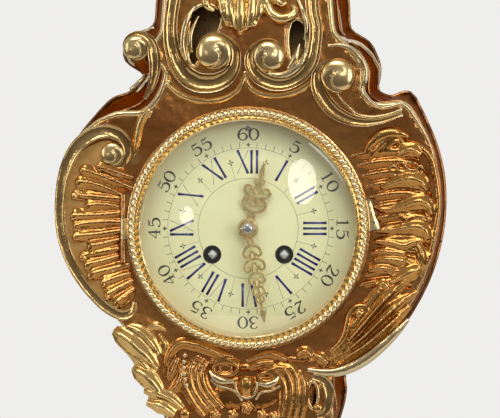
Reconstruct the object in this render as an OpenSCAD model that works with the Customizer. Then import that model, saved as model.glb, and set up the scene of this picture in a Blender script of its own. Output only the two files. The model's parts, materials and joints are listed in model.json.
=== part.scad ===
// Rococo cartel clock: a gilt bronze wall case around a round eight-day movement that strikes on a bell.
// Every piece is drawn in a front view: x to the right, y up, z out of the wall, with the dial's axis on z.
// on_wall() then stands the front view up, with the hanging eye at the origin and the front facing -Y.

/* [Case] */
// Height of the hanging eye above the dial's centre
dial_drop = 140; // [135:1:145]
// Depth from the wall to the case's front face
case_depth = 70; // [68:0.5:80]
// Thickness of the cast case wall
case_wall = 4; // [3:0.5:5]
// Width that the case's front opening has beyond the visible dial, all round
opening_lap = 2.75; // [2.6:0.05:2.9]
// Depth of the recess that holds the back plate
back_inset = 3; // [2.8:0.1:3.5]
// Thickness of the sheet back plate
back_t = 1.5; // [1:0.1:1.8]
// Radius of the eye that hangs on the wall hook
eye_r = 4; // [3:0.5:5]

/* [Bezel and glass] */
// Radius of the dial that shows inside the bezel
sight_r = 53.75; // [53:0.05:54]
// Width of the bezel's face, from the visible dial to its outer edge
bezel_w = 6.75; // [6.4:0.05:7]
// Distance of the rope moulding's centre line outside the visible dial
rope_out = 3.85; // [3.6:0.05:4]
// Radius of the rope moulding's section
rope_section = 1.8; // [1.4:0.1:2]
// Rise of the glass above its rim
glass_rise = 9; // [6:0.5:12]
// Thickness of the glass
glass_t = 1.6; // [1.2:0.1:2]
// Length of the bezel's hinge
hinge_len = 34; // [26:1:40]
// Radius of the hinge's knuckles
knuckle_r = 1.5; // [1.3:0.1:1.6]
// Radius of the hinge pins
hinge_pin_r = 0.7; // [0.5:0.1:0.8]

/* [Dial and hands] */
// Thickness of the enamel dial
dial_t = 2; // [1.6:0.1:2.4]
// Rise of the dial's centre above its edge
dial_rise = 2.2; // [1:0.2:2.6]
// Sideways distance of a winding hole from the dial's centre
wind_x = 18; // [17.5:0.1:18.5]
// Distance of the winding holes below the dial's centre
wind_y = 13; // [12.5:0.1:13.5]
// Radius of a winding hole
wind_hole_r = 4.3; // [4:0.1:5]
// Height of the regulating hole above the dial's centre
regulator_y = 50; // [49.5:0.1:50.5]
// Length of the hour hand from the centre to its tip
hour_len = 35; // [28:1:38]
// Length of the minute hand from the centre to its tip
minute_len = 48; // [42:1:50]
// Thickness of the hands
hand_t = 0.8; // [0.5:0.1:1]
// Angle of the hour hand, clockwise from twelve
hour_angle = 14; // [0:1:359]
// Angle of the minute hand, clockwise from twelve
minute_angle = 170; // [0:1:359]

/* [Movement] */
// Radius of the movement's plates
plate_r = 47; // [46.5:0.5:48]
// Thickness of the plates
plate_t = 2; // [1.6:0.1:2.4]
// Distance between the two plates
plate_gap = 27; // [26.5:0.1:27.4]
// Radius of the plate pillars
pillar_r = 2.2; // [1.8:0.1:2.6]
// Radius of the thin wheel arbors
arbor_r = 0.8; // [0.6:0.05:0.9]
// Running clearance of a pivot in its hole
pivot_gap = 0.05; // [0.02:0.01:0.1]
// Thickness of the train wheels
wheel_t = 1.1; // [0.8:0.1:1.2]
// Height of a mainspring barrel
barrel_h = 17; // [14:0.5:17.5]
// Radius of the bell
bell_r = 30; // [26:1:31]
// Thickness of the bell's wall
bell_t = 1.6; // [1.2:0.2:2]
// Radius of the pendulum bob
bob_r = 13; // [10:0.5:14]

/* [Wheel train] */
// Teeth of each mainspring barrel
barrel_teeth = 76; // [76:1:76]
// Tooth module of the barrels
barrel_m = 0.42; // [0.41:0.005:0.425]
// Teeth of the second wheels
second_teeth = 72; // [70:1:74]
// Tooth module of the second wheels
second_m = 0.34; // [0.335:0.005:0.345]
// Leaves of the pinions that the barrels and second wheels drive
low_leaves = 12; // [12:1:12]
// Teeth of the centre and third wheels
high_teeth = 88; // [86:1:90]
// Tooth module of the centre wheel
centre_m = 0.3; // [0.295:0.005:0.305]
// Tooth module of the third wheel
third_m = 0.26; // [0.255:0.005:0.265]
// Leaves of the third and escape pinions
high_leaves = 8; // [8:1:8]
// Teeth of the escape wheel
escape_teeth = 39; // [30:1:42]
// Tip radius of the escape wheel
escape_r = 9; // [8:0.1:9.4]

/* [Hidden] */
$fn = 48;
eps = 0.01;
fit = 0.2;               // gap between pieces that slip together
clear = 0.3;             // gap between pieces that pass each other
gilt = "goldenrod";
brass = "darkkhaki";
steel = "lightsteelblue";

// Depth of each layer, measured out of the wall
plate_back = back_inset;
plate_front = back_inset + back_t;
bell_back = plate_front + 1;
bell_h = 11.5;
pendulum_d = 19.6;
rear_plate_d = 24.5;
train_d = rear_plate_d + plate_t;
front_plate_d = train_d + plate_gap;
motion_d = front_plate_d + plate_t;
flange_t = 1.5;
bezel_d = case_depth + flange_t + fit;
motion_room = 4.5;
ledge_d = motion_d + motion_room;
ledge_t = 2;
dial_d = ledge_d + ledge_t;
dial_top = dial_d + dial_t + dial_rise;

// Fits around the dial's opening
opening_r = sight_r + opening_lap;
bezel_r = sight_r + bezel_w;
rope_r = sight_r + rope_out;
ring_r = opening_r - fit;
ring_bore = ring_r - 1.3;
dial_r = ring_bore - 0.4;
ledge_bore = ring_bore - 3;

// Where the train's arbors stand
function polar(r, a) = [r * cos(a), r * sin(a)];
function pitch(teeth, m) = teeth * m / 2;
function mesh_gap(t1, t2, m) = pitch(t1, m) + pitch(t2, m);
function turn_of(v) = atan2(v[1], v[0]);
// Third corner of a triangle on p and q, at r from p and s from q, on the left of the line from p to q
function corner(p, q, r, s) =
    let(c = norm(q - p), along = (r * r + c * c - s * s) / (2 * c), up = sqrt(r * r - along * along))
    p + (along * (q - p) + up * [-(q - p)[1], (q - p)[0]]) / c;

centre = [0, 0];
going = [wind_x, -wind_y];
strike = [-wind_x, -wind_y];
second = corner(centre, going, mesh_gap(second_teeth, low_leaves, second_m),
                mesh_gap(barrel_teeth, low_leaves, barrel_m));
third = centre + polar(mesh_gap(high_teeth, high_leaves, centre_m), 120);
escape = [0, third[1] + sqrt(pow(mesh_gap(high_teeth, high_leaves, third_m), 2) - third[0] * third[0])];
pallet_reach = 13;
pallet_axis = escape + [0, pallet_reach];
strike_second = strike + polar(mesh_gap(barrel_teeth, low_leaves, barrel_m), -45);
pin_leaves = 10;
pin_axis = strike_second + polar(mesh_gap(second_teeth, pin_leaves, second_m), -25);
pin_teeth = 60;
pin_m = 0.3;
fly_axis = pin_axis + polar(mesh_gap(pin_teeth, high_leaves, pin_m), -60);
pillars_at = [[38, 20], [-38, 20], [31, -31], [-31, -31]];
hammer_axis = [24, -38];

// Motion work, twelve to one from the minute hand to the hour hand
cannon_leaves = 12;
minute_teeth = 36;
minute_leaves = 10;
hour_teeth = 40;
cannon_m = 0.4;
hour_m = cannon_m * (cannon_leaves + minute_teeth) / (minute_leaves + hour_teeth);
minute_axis = [0, mesh_gap(cannon_leaves, minute_teeth, cannon_m)];

// Depths of the wheels between the plates
barrel_d = train_d + 2;
great_t = 1.8;
second_d = barrel_d + barrel_h + 2;
centre_d = second_d + wheel_t + 1.9;
third_d = train_d + 13.5;
escape_d = train_d + 2.5;
pinion_over = 0.5;

// Outline of the case as [x, y] where it meets the wall, then [x, y] at its front edge
case_outline = [
    [0, -158, 0, -150], [16, -150, 12, -142], [30, -132, 24, -126], [41, -112, 35, -108],
    [47.5, -94, 42, -94], [49.5, -84, 39, -83], [50, -74, 40, -73], [66, -63, 53, -66],
    [80, -50, 68.5, -53], [91, -31, 83, -34], [97, -15, 90.5, -15], [100.5, 2, 94.5, 4],
    [101, 22, 95, 20], [98, 39, 91, 41], [92, 55, 84, 54], [83, 71, 77, 62],
    [74.5, 69, 63.5, 61], [66.5, 72, 56.5, 69], [67.5, 84, 57, 80], [62, 97, 49, 91],
    [52, 104, 42.5, 98], [51, 118, 40.5, 114], [46, 136, 37, 132], [38, 152, 30, 147],
    [24, 166, 18, 158], [0, 172, 0, 164], [-24, 166, -18, 158], [-38, 152, -30, 147],
    [-46, 136, -37, 132], [-50, 118, -41, 114], [-52, 106, -42.5, 98], [-66, 99, -47, 91],
    [-67, 88, -45, 84], [-57, 80, -41, 78], [-65, 71, -44, 67], [-74, 68, -52, 58],
    [-84, 57, -66, 57], [-93, 44, -82, 48], [-97, 28, -90, 30], [-97.5, 10, -92, 10],
    [-94, -10, -89, -10], [-85, -29, -80, -28], [-69, -46, -66, -44], [-61, -60, -55, -58],
    [-55, -73, -48, -74], [-49, -86, -43, -86], [-46, -97, -40, -96], [-40, -113, -34, -109],
    [-29, -133, -23, -127], [-15, -150, -12, -142]];
outline_steps = 2;

// Shared shapes

module on_wall() translate([0, 0, -dial_drop]) rotate([90, 0, 0]) children();

module at(p, d = 0) translate([p[0], p[1], d]) children();

module disc(r, h, bore = 0) difference() {
    cylinder(r = r, h = h);
    if (bore > 0) translate([0, 0, -1]) cylinder(r = bore, h = h + 2);
}

// Smooth curve through points of any size: place, depth and radius are blended together
function blend(a, b, c, e, t) = 0.5 * (2 * b + (c - a) * t + (2 * a - 5 * b + 4 * c - e) * t * t
    + (3 * b - a - 3 * c + e) * t * t * t);
function spline(p, n) = [for (i = [0:len(p) - 2]) for (k = [0:n - 1])
    blend(p[max(i - 1, 0)], p[i], p[i + 1], p[min(i + 2, len(p) - 1)], k / n), p[len(p) - 1]];
function closed_spline(p, n) = let(c = len(p)) [for (i = [0:c - 1]) for (k = [0:n - 1])
    blend(p[(i + c - 1) % c], p[i], p[(i + 1) % c], p[(i + 2) % c], k / n)];

// Toothed outline: radial roots, and tips that narrow as a clock tooth does
function tooth_ring(teeth, m, phase, width, rise, fall) = let(r = pitch(teeth, m), step = 360 / teeth)
    [for (k = [0:teeth - 1]) let(a = phase + k * step)
        for (s = [[-width, -fall], [-width, 0], [-width * 0.72, rise * 0.62], [-width * 0.2, rise],
                  [width * 0.2, rise], [width * 0.72, rise * 0.62], [width, 0], [width, -fall]])
            polar(r + s[1] * m, a + s[0] * step)];
wheel_width = 0.23;
wheel_rise = 1.0;
wheel_fall = 1.4;
leaf_width = 0.16;
leaf_rise = 0.6;
leaf_fall = 1.5;

// Crossed-out wheel with its rim, arms and hub
module wheel(teeth, m, phase, h, hub = 2.4, arms = 5) {
    rim = pitch(teeth, m) - 3 * m - 1.1;
    arm_w = 1.2;
    difference() {
        linear_extrude(h) polygon(tooth_ring(teeth, m, phase, wheel_width, wheel_rise, wheel_fall));
        if (rim - hub > 2) difference() {
            translate([0, 0, -1]) disc(rim, h + 2, hub);
            for (k = [0:arms - 1]) rotate(phase + 11 + k * 360 / arms)
                translate([0, -arm_w / 2, -2]) cube([rim + 1, arm_w, h + 4]);
        }
    }
}

module pinion(leaves, m, phase, h) linear_extrude(h)
    polygon(tooth_ring(leaves, m, phase, leaf_width, leaf_rise, leaf_fall));

// Arbor across the train space with a thinner pivot in each plate
pivot_r = 0.5;
module arbor(r = arbor_r, from = train_d + 0.4, to = front_plate_d - 0.4) {
    translate([0, 0, from]) cylinder(r = r, h = to - from);
    translate([0, 0, rear_plate_d]) cylinder(r = pivot_r, h = motion_d - rear_plate_d);
}

// Screw lying along z with its head on the wall side
module screw(r, length, head_r, head_h) {
    cylinder(r = r, h = length);
    translate([0, 0, -head_h]) difference() {
        cylinder(r = head_r, h = head_h);
        translate([-head_r, -0.3, -eps]) cube([2 * head_r, 0.6, head_h / 2]);
    }
}

// Case

// Walls sweep in from the wall line to the front edge on a hollow curve
wall_steps = 4;
wall_curve = 1.6;
front_d = case_depth - case_wall;
outline = closed_spline(case_outline, outline_steps);
wall_line = [for (q = outline) [q[0], q[1]]];
front_line = [for (q = outline) [q[2], q[3]]];

// Line moved inwards by w, along each point's own normal
function inset(line, w) = let(n = len(line)) [for (i = [0:n - 1])
    let(t = line[(i + 1) % n] - line[(i + n - 1) % n]) line[i] + w * [-t[1], t[0]] / norm(t)];
function lift(line, d) = [for (p = line) [p[0], p[1], d]];
function case_ring(d) = let(g = pow(1 - d / front_d, wall_curve))
    [for (q = outline) [q[2] + (q[0] - q[2]) * g, q[3] + (q[1] - q[3]) * g, d]];

// Hollow side band: up the outside, down the inside, with a shoulder for the back plate
module case_sides() on_wall() color(gilt) difference() {
    rings = concat(
        [for (i = [0:wall_steps]) each case_ring(front_d * i / wall_steps)],
        lift(inset(front_line, case_wall), front_d), lift(inset(front_line, case_wall), plate_front),
        lift(inset(wall_line, case_wall), plate_front), lift(inset(wall_line, case_wall), 0));
    n = len(outline);
    rows = wall_steps + 5;
    polyhedron(rings, concat(
        [for (i = [0:rows - 1]) for (j = [0:n - 1])
            [i * n + j, (i + 1) % rows * n + (j + 1) % n, i * n + (j + 1) % n]],
        [for (i = [0:rows - 1]) for (j = [0:n - 1])
            [i * n + j, (i + 1) % rows * n + j, (i + 1) % rows * n + (j + 1) % n]]));
    for (p = back_screws_at) at(p, plate_front - 1) cylinder(r = screw_r, h = screw_len - back_t + 2);
}

// Pierced openings in the front, below the crest and beside the apron
left_piercing = [[-30, 86], [-27, 81], [-24, 85], [-23, 93], [-15, 98], [-13, 108], [-21, 112], [-29, 107]];
right_piercing = [[21, 84], [26, 82.5], [29, 90], [29, 101], [24, 105], [20, 99]];
lower_piercing = [[31, -76], [34.5, -79], [35, -86], [32.5, -90], [30, -86]];

module case_front() on_wall() color(gilt) translate([0, 0, front_d]) difference() {
    linear_extrude(case_wall) polygon(front_line);
    translate([0, 0, -1]) cylinder(r = opening_r, h = case_wall + 2);
    for (p = [left_piercing, right_piercing, lower_piercing])
        translate([0, 0, -1]) linear_extrude(case_wall + 2) polygon(closed_spline(p, 2));
}

// Ornaments are castings seated on the front, each drawn as its outline

// Both edges of a tapering band along [x, y, half width] points
function strip(points, steps = 4) = let(p = spline(points, steps), n = len(p),
    side = [for (i = [0:n - 1]) let(t = p[min(i + 1, n - 1)] - p[max(i - 1, 0)])
        [t[1], -t[0]] / norm([t[0], t[1]])])
    concat([for (i = [0:n - 1]) [p[i][0], p[i][1]] + p[i][2] * side[i]],
           [for (i = [n - 1:-1:0]) [p[i][0], p[i][1]] - p[i][2] * side[i]]);
module band(points) polygon(strip(points));
module boss(x, y, r) translate([x, y]) circle(r = r, $fn = 24);

// Rounded lobe from one [x, y, radius] to another
module lobe(a, b) {
    polygon(strip([a, b], 1));
    boss(a[0], a[1], a[2]);
    boss(b[0], b[1], b[2]);
}

bezel_room = 3;
module casting(h) on_wall() color(gilt) translate([0, 0, case_depth]) linear_extrude(h) offset(delta = eps)
    difference() {
        children();
        circle(r = bezel_r + bezel_room);
        translate([-hinge_x - knuckle_r - 1, -hinge_len / 2 - 1]) square([2 * knuckle_r + 2, hinge_len + 2]);
    }

left_c = [[-17, 95, 1.6], [-10, 92, 3], [-7, 84, 4], [-11, 76, 4.6], [-20, 72, 5], [-29, 75, 4.6],
    [-35, 82, 4.2], [-37.5, 92, 4], [-37, 102, 4], [-35, 113, 4], [-34, 128, 4], [-30, 142, 4], [-21, 150, 4],
    [-11, 149, 3]];
right_c = [[9, 92.5, 1.6], [2.5, 89.5, 3], [-0.5, 82, 3.4], [4, 74.5, 4.4], [13, 71.5, 5], [24, 75, 4.6],
    [31, 82, 4.2], [34.5, 92, 4], [34.5, 102, 4], [33, 113, 4], [33, 128, 4], [29, 142, 4], [21, 150, 4],
    [11, 149, 3]];

module crest_outline() {
    band(left_c);
    band(right_c);
    boss(-17.5, 87.5, 7.4);
    boss(9.5, 85, 7.4);
    for (side = [-1, 1]) boss(side * 10, 145.5, 4.4);
}
module crest_scrolls() casting(6) crest_outline();

// Plume between the scrolls and the fan shell above them
module plume() for (k = [-3:3]) lobe([k * 1.6 - 3, 134, 3.4], [k * 4.4 - 3, 101 + k * k * 1.3, 3.4]);
module fan(x, y, reach, spread, count) for (k = [0:count - 1]) {
    a = 90 - spread / 2 + k * spread / (count - 1);
    lobe([x + 4 * cos(a), y + 4 * sin(a), 2.6], [x + reach * cos(a), y + reach * sin(a), 3.6]);
}
module crest_shell() casting(4.5) difference() {
    union() {
        plume();
        fan(0, 154, 26, 130, 7);
    }
    crest_outline();
}

// Shoulder volutes: a ball, its ribbon, and the cup behind it
left_ribbon = [[-55, 98, 1.6], [-49.5, 96.5, 2.8], [-46, 90, 3.4], [-45.5, 82, 3.2], [-46.5, 74, 2.6],
    [-50, 66, 1]];
right_ribbon = [[43, 84.5, 1.8], [36.5, 80.5, 3.2], [35.5, 71, 4], [39, 63.5, 3.4], [45, 57.5, 2.6],
    [53.5, 54, 1]];
left_cup = [[-50.5, 102.5, 1], [-58, 102.5, 1.8], [-64.5, 97, 2], [-64, 88.5, 1.8], [-60, 85, 1]];
right_cup = [[42, 92, 1], [50, 90.5, 2.2], [56, 83, 2.4], [56.5, 73, 2.4], [60, 65, 2], [69, 61.5, 1.8],
    [77, 62.5, 1]];
module volutes() {
    for (line = [left_ribbon, right_ribbon, left_cup, right_cup]) band(line);
    boss(-56, 91, 5.4);
    boss(45, 76, 7.4);
}
module shoulder_volutes() casting(5.5) difference() {
    volutes();
    crest_outline();
}

// Ribs that fan out from the bezel to a ragged edge
module ribs(from, to, count, inner, outer, wave) for (k = [0:count - 1]) {
    a = from + (to - from) * k / (count - 1);
    root = polar(bezel_r + inner, a);
    tip = polar(bezel_r + outer + wave * sin(k * 137), a);
    lobe([root[0], root[1], 1.3], [tip[0], tip[1], 2]);
}

left_band = [[-69, 45, 1.2], [-62.5, 43.5, 2], [-62.5, 48, 2.6], [-70, 51.5, 3.4], [-80, 47.5, 3.8],
    [-87, 40, 3.6], [-91.5, 30, 3.2], [-93.5, 18, 2.8], [-93.5, 6, 2.6], [-91, -7, 2.6], [-86, -19, 2.6],
    [-79, -30, 2.6], [-71, -38, 2.6], [-63, -42.5, 2.2], [-57.5, -42, 1.8], [-55.5, -38, 1]];
module left_shell() {
    band(left_band);
    boss(-69, 38.5, 5.6);
    ribs(161, 206, 12, 8.5, 23.5, 2.5);
    band([[-77, 34, 2], [-83.5, 20, 2.6], [-84.5, 4, 2.6], [-80, -14, 2.6], [-72, -29, 2]]);
}
module left_rocaille() casting(4) left_shell();

right_border = [[62, 46, 1], [70, 50, 2.4], [79, 48.5, 2.8], [87, 42, 2.8], [91.5, 31, 2.6], [93, 18, 2.6],
    [92.5, 6, 2.6], [90, -8, 2.4], [86, -19, 1]];
module right_shell() {
    band(right_border);
    ribs(34, -14, 11, 9.5, 29.5, 1.5);
}
module right_rocaille() casting(4) difference() {
    right_shell();
    volutes();
}

// Leaf of swept fronds
fronds = [[[33, -70, 1.4], [48, -68.5, 3.2], [63, -61, 3.4], [77, -47, 1]],
    [[42, -62, 1], [58, -55.5, 3.2], [71, -44, 3.2], [83, -33, 1]],
    [[52, -52, 1], [63, -44, 3.2], [74, -32, 3.2], [84, -24, 1]]];
module acanthus() {
    for (f = fronds) band(f);
    band([[44, -66, 2], [62, -53, 3], [76, -38, 2]]);
}
module right_acanthus() casting(5) difference() {
    acanthus();
    right_shell();
}

module left_leaves() for (k = [0:6])
    lobe([-63 + 3.9 * k, -52 - 5.6 * k, 3.2], [-50 + 2.3 * k, -62 - 4.4 * k, 2.6]);
module lower_left_leaves() casting(4) difference() {
    left_leaves();
    left_shell();
}

// Shell cartouche below the dial
arches = [[[-38, -66, 1], [-30, -62, 2.6], [-20, -64.5, 2.6], [-10, -69, 1]],
    [[32, -66, 1], [23, -64.5, 2.6], [13, -66, 2.6], [4, -69, 1]]];
module cartouche() {
    for (a = arches) band(a);
    band([[-30, -66, 3], [0, -71, 4], [29, -66, 3]]);
    for (side = [-1, 1])
        band([[side * 18, -70, 2], [side * 21, -82, 3], [side * 16, -93, 3], [side * 7, -97, 1.6]]);
    for (k = [-3:3]) lobe([k * 2.4, -73, 2.4], [k * 4.4, -92 + abs(k) * 1.4, 2.8]);
}
module apron_cartouche() casting(5) difference() {
    cartouche();
    left_leaves();
    acanthus();
}

// Drooping leaf and berries that end the case below
module pendant() casting(6) difference() {
    union() {
        for (k = [-3:3]) lobe([k * 5, -106 + abs(k) * 1.5, 3.8], [k * 2.4, -148 + abs(k) * 6, 3]);
        lobe([0, -140, 5], [0, -168, 4.4]);
    }
    cartouche();
    left_leaves();
}

// Back plate and hanging

screw_r = 1.25;
screw_gap = 0.05;
screw_len = 8;
screw_head_r = 2.4;
screw_head_h = 1.2;
back_screws_at = [[51, 90], [-50, 90], [57, -61], [-54.5, -57.3]];
bracket_at = [0, dial_drop];
bracket_t = back_inset;
bracket_w = 28;
bracket_h = 14;
bracket_screws_at = [for (side = [-1, 1]) bracket_at + [side * (eye_r + screw_head_r + 3), 0]];
eye_margin = 2;
rear_opening_r = ledge_bore - 4.4;

module back_plate() on_wall() color(brass) difference() {
    translate([0, 0, plate_back]) linear_extrude(back_t)
        offset(delta = -case_wall - clear) polygon(wall_line);
    cylinder(r = rear_opening_r, h = case_depth);
    at(bracket_at) cylinder(r = eye_r + eye_margin, h = case_depth);
    for (p = concat(back_screws_at, bracket_screws_at)) at(p) cylinder(r = screw_r + fit, h = case_depth);
    for (s = strap_screws_at) at(s) cylinder(r = strap_screw_r + fit, h = case_depth);
}

module hanging_bracket() on_wall() color(steel) at(bracket_at, plate_back - bracket_t) difference() {
    linear_extrude(bracket_t) square([bracket_w, bracket_h], center = true);
    translate([0, 0, -1]) cylinder(r = eye_r, h = bracket_t + 2);
    for (p = bracket_screws_at) at(p - bracket_at, -1) cylinder(r = screw_r + fit, h = bracket_t + 2);
    for (p = bracket_screws_at) at(p - bracket_at, -1) cylinder(r = screw_head_r + fit, h = screw_head_h + 1);
}

// Screws of the back plate, then those of the hanging bracket
module case_screws() on_wall() color(steel) {
    for (p = back_screws_at) at(p, plate_back)
        screw(screw_r - screw_gap, screw_len, screw_head_r, screw_head_h);
    for (p = bracket_screws_at) at(p, plate_back - bracket_t + screw_head_h)
        screw(screw_r, bracket_t + back_t, screw_head_r, screw_head_h);
}

// Dial ring, bezel and glass

bezel_h = 5.4;
seat_h = 3.7;
seat_r = sight_r + 1.85;
rope_d = 3.4;
glass_d = bezel_d + seat_h - glass_t;
retainer_t = 1.2;
hinge_x = bezel_r + knuckle_r + 0.4;
hinge_d = bezel_d + 0.6;
knuckle_len = hinge_len / 3;
leaf_t = 1;
tab_len = 15;
tab_out = 5.6;
tab_t = 2.6;
foot_r = 44.5;
foot_angles = [0, 120, 240];
foot_pin_r = 1.2;

// Room for a hinge pin along y, from one height to another
module pin_room(x, d, low, high, pin) translate([x, low - 1, d]) rotate([-90, 0, 0])
    cylinder(r = pin, h = high - low + 2);

module dial_ring() on_wall() color(brass) difference() {
    union() {
        translate([0, 0, case_depth]) disc(bezel_r - 0.1, flange_t, ring_bore);
        translate([0, 0, ledge_d]) disc(ring_r, case_depth + flange_t / 2 - ledge_d, ring_bore);
        translate([0, 0, ledge_d]) disc(ring_r, ledge_t, ledge_bore);
        for (a = foot_angles) rotate(a) {
            translate([foot_r - 2.5, -2.5, ledge_d - 1.5]) cube([ring_bore + 0.5 - foot_r + 2.5, 5, 2]);
            translate([foot_r, 0, motion_d]) cylinder(r = 2, h = ledge_d - motion_d);
            translate([foot_r, 0, front_plate_d]) cylinder(r = foot_pin_r, h = plate_t + 1);
        }
        for (side = [-1, 1]) {
            low = side < 0 ? -hinge_len / 2 : knuckle_len / 2;
            translate([-hinge_x, low, case_depth]) cube([hinge_x - ring_r - 0.5, knuckle_len, flange_t]);
            translate([-hinge_x, low, hinge_d]) rotate([-90, 0, 0]) cylinder(r = knuckle_r, h = knuckle_len);
        }
    }
    pin_room(-hinge_x, hinge_d, -hinge_len / 2, hinge_len / 2, hinge_pin_r + pivot_gap);
}

module bezel() on_wall() color(gilt) difference() {
    union() {
        translate([0, 0, bezel_d]) rotate_extrude() polygon([[seat_r, 0], [bezel_r, 0], [bezel_r, 1.6],
            [bezel_r - 1, 2.6], [rope_r - rope_section, bezel_h - 0.4], [seat_r, bezel_h], [sight_r, bezel_h],
            [sight_r, seat_h], [seat_r, seat_h]]);
        translate([0, 0, bezel_d + rope_d]) rotate_extrude() translate([rope_r, 0]) circle(r = rope_section);
        translate([bezel_r - 1, -1, bezel_d + 0.2]) cube([tab_out + 1, tab_len, tab_t]);
        translate([-hinge_x, clear - knuckle_len / 2, hinge_d - leaf_t / 2])
            cube([hinge_x - bezel_r + 1, knuckle_len - 2 * clear, leaf_t]);
        translate([-hinge_x, clear - knuckle_len / 2, hinge_d]) rotate([-90, 0, 0])
            cylinder(r = knuckle_r, h = knuckle_len - 2 * clear);
    }
    pin_room(-hinge_x, hinge_d, -knuckle_len / 2, knuckle_len / 2, hinge_pin_r + pivot_gap);
}

module bezel_hinge_pin() on_wall() color(steel) translate([-hinge_x, -hinge_len / 2, hinge_d])
    rotate([-90, 0, 0]) cylinder(r = hinge_pin_r, h = hinge_len);

// Half section of a low dome: heights above its rim from the middle outwards
dome_steps = 6;
function dome(r, rise) = [for (k = [0:dome_steps]) [r * k / dome_steps, rise * (1 - pow(k / dome_steps, 2))]];
function back_over(p) = [for (k = [len(p) - 1:-1:0]) p[k]];

module bezel_glass() on_wall() color("aliceblue", 0.4) translate([0, 0, glass_d]) rotate_extrude() {
    inner = dome(sight_r - 0.4, glass_rise);
    polygon(concat(inner, [[seat_r - fit, 0], [seat_r - fit, glass_t]],
        [for (p = back_over(inner)) p + [0, glass_t]]));
}

module glass_retainer() on_wall() color(brass)
    translate([0, 0, glass_d - retainer_t]) disc(seat_r - 0.05, retainer_t, sight_r + 0.2);

// Movement holder and rear door

strap_angles = [50, 230];
strap_r = ledge_bore + 1;
strap_w = 8;
strap_t = 1.6;
strap_back = 14;
strap_foot = 6;
strap_screw_r = 1.5;
strap_screws_at = [for (a = strap_angles) polar(strap_r, a)];
rear_ring_t = 1.4;
rear_ring_r = rear_opening_r + 9;
rear_ring_d = plate_back - rear_ring_t;
door_gap = 1.2;
door_r = rear_opening_r - door_gap;
door_t = 1.2;
door_hinge_x = rear_opening_r + 2;
door_hinge_d = 1.5;
door_knuckle_r = 1.1;
door_pin_r = 0.5;
door_knuckle_len = 6;
door_hinge_len = 3 * door_knuckle_len;

module movement_straps() on_wall() color(brass) for (a = strap_angles) rotate(a) difference() {
    union() {
        translate([strap_r, -strap_w / 2, strap_back]) cube([strap_t, strap_w, ledge_d - strap_back]);
        translate([strap_r - 3, -strap_w / 2, strap_back]) cube([3 + strap_t, strap_w, strap_foot]);
    }
    translate([strap_r, 0, strap_back - 1]) cylinder(r = strap_screw_r + screw_gap, h = strap_foot + 5);
}

module strap_screws() on_wall() color(steel) for (p = strap_screws_at)
    at(p, rear_ring_d) screw(strap_screw_r, strap_back + strap_foot - rear_ring_d, 2.6, 1);

module rear_ring() on_wall() color(brass) difference() {
    union() {
        difference() {
            translate([0, 0, rear_ring_d]) disc(rear_ring_r, rear_ring_t, rear_opening_r);
            for (p = strap_screws_at) at(p) cylinder(r = strap_screw_r + fit, h = case_depth);
            translate([-door_hinge_x - door_knuckle_r - clear, -door_hinge_len / 2 - clear, 0])
                cube([door_knuckle_r + 5, door_hinge_len + 2 * clear, plate_back - eps]);
        }
        for (side = [-1, 1]) {
            low = side < 0 ? -door_hinge_len / 2 : door_knuckle_len / 2;
            translate([-door_hinge_x, low, door_hinge_d]) rotate([-90, 0, 0])
                cylinder(r = door_knuckle_r, h = door_knuckle_len);
            translate([-door_hinge_x - door_knuckle_r - 1, low, rear_ring_d])
                cube([door_knuckle_r + 1, door_knuckle_len, 0.9]);
        }
    }
    pin_room(-door_hinge_x, door_hinge_d, -door_hinge_len / 2, door_hinge_len / 2, door_pin_r + pivot_gap);
}

module rear_door() on_wall() color(brass) difference() {
    union() {
        translate([0, 0, door_hinge_d - door_t / 2]) disc(door_r, door_t);
        translate([-door_hinge_x, clear - door_knuckle_len / 2, door_hinge_d]) rotate([-90, 0, 0])
            cylinder(r = door_knuckle_r, h = door_knuckle_len - 2 * clear);
        translate([-door_hinge_x, clear - door_knuckle_len / 2, door_hinge_d - door_t / 2])
            cube([door_hinge_x - door_r + 2, door_knuckle_len - 2 * clear, door_t]);
    }
    pin_room(-door_hinge_x, door_hinge_d, -door_knuckle_len / 2, door_knuckle_len / 2,
        door_pin_r + pivot_gap);
}

module rear_door_pin() on_wall() color(steel) translate([-door_hinge_x, -door_hinge_len / 2, door_hinge_d])
    rotate([-90, 0, 0]) cylinder(r = door_pin_r, h = door_hinge_len);

// Dial and hands

pipe_r = 3;
cannon_r = 2.05;
centre_r = 1;
dial_hole_r = 4;
regulator_r = 1;
regulator_hole_r = 1.4;
hour_hand_d = dial_top + 1.4;
minute_hand_d = hour_hand_d + hand_t + 2;
collet_h = 1.6;
hand_pin_r = 0.35;
arbor_end = minute_hand_d + hand_t + collet_h + 1.4;

module dial() on_wall() color("ivory") difference() {
    translate([0, 0, dial_d]) rotate_extrude() {
        under = dome(dial_r, dial_rise);
        polygon(concat(under, [for (p = back_over(under)) p + [0, dial_t]]));
    }
    cylinder(r = dial_hole_r, h = dial_top + 1);
    for (p = [going, strike]) at(p) cylinder(r = wind_hole_r, h = dial_top + 1);
    at([0, regulator_y]) cylinder(r = regulator_hole_r, h = dial_top + 1);
}

function mirrored(half) = concat(half, [for (k = [len(half) - 1:-1:0]) [-half[k][0], half[k][1]]]);

pipe_fit = 0.02;

// Pierced hand pointing up before it is turned to its time
module pierced_hand(half, window, bore, angle) rotate(-angle) difference() {
    linear_extrude(hand_t) polygon(mirrored(half));
    translate([0, 0, -1]) linear_extrude(hand_t + 2) polygon(mirrored(window));
    translate([0, 0, -1]) cylinder(r = bore, h = hand_t + 2);
}

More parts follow.
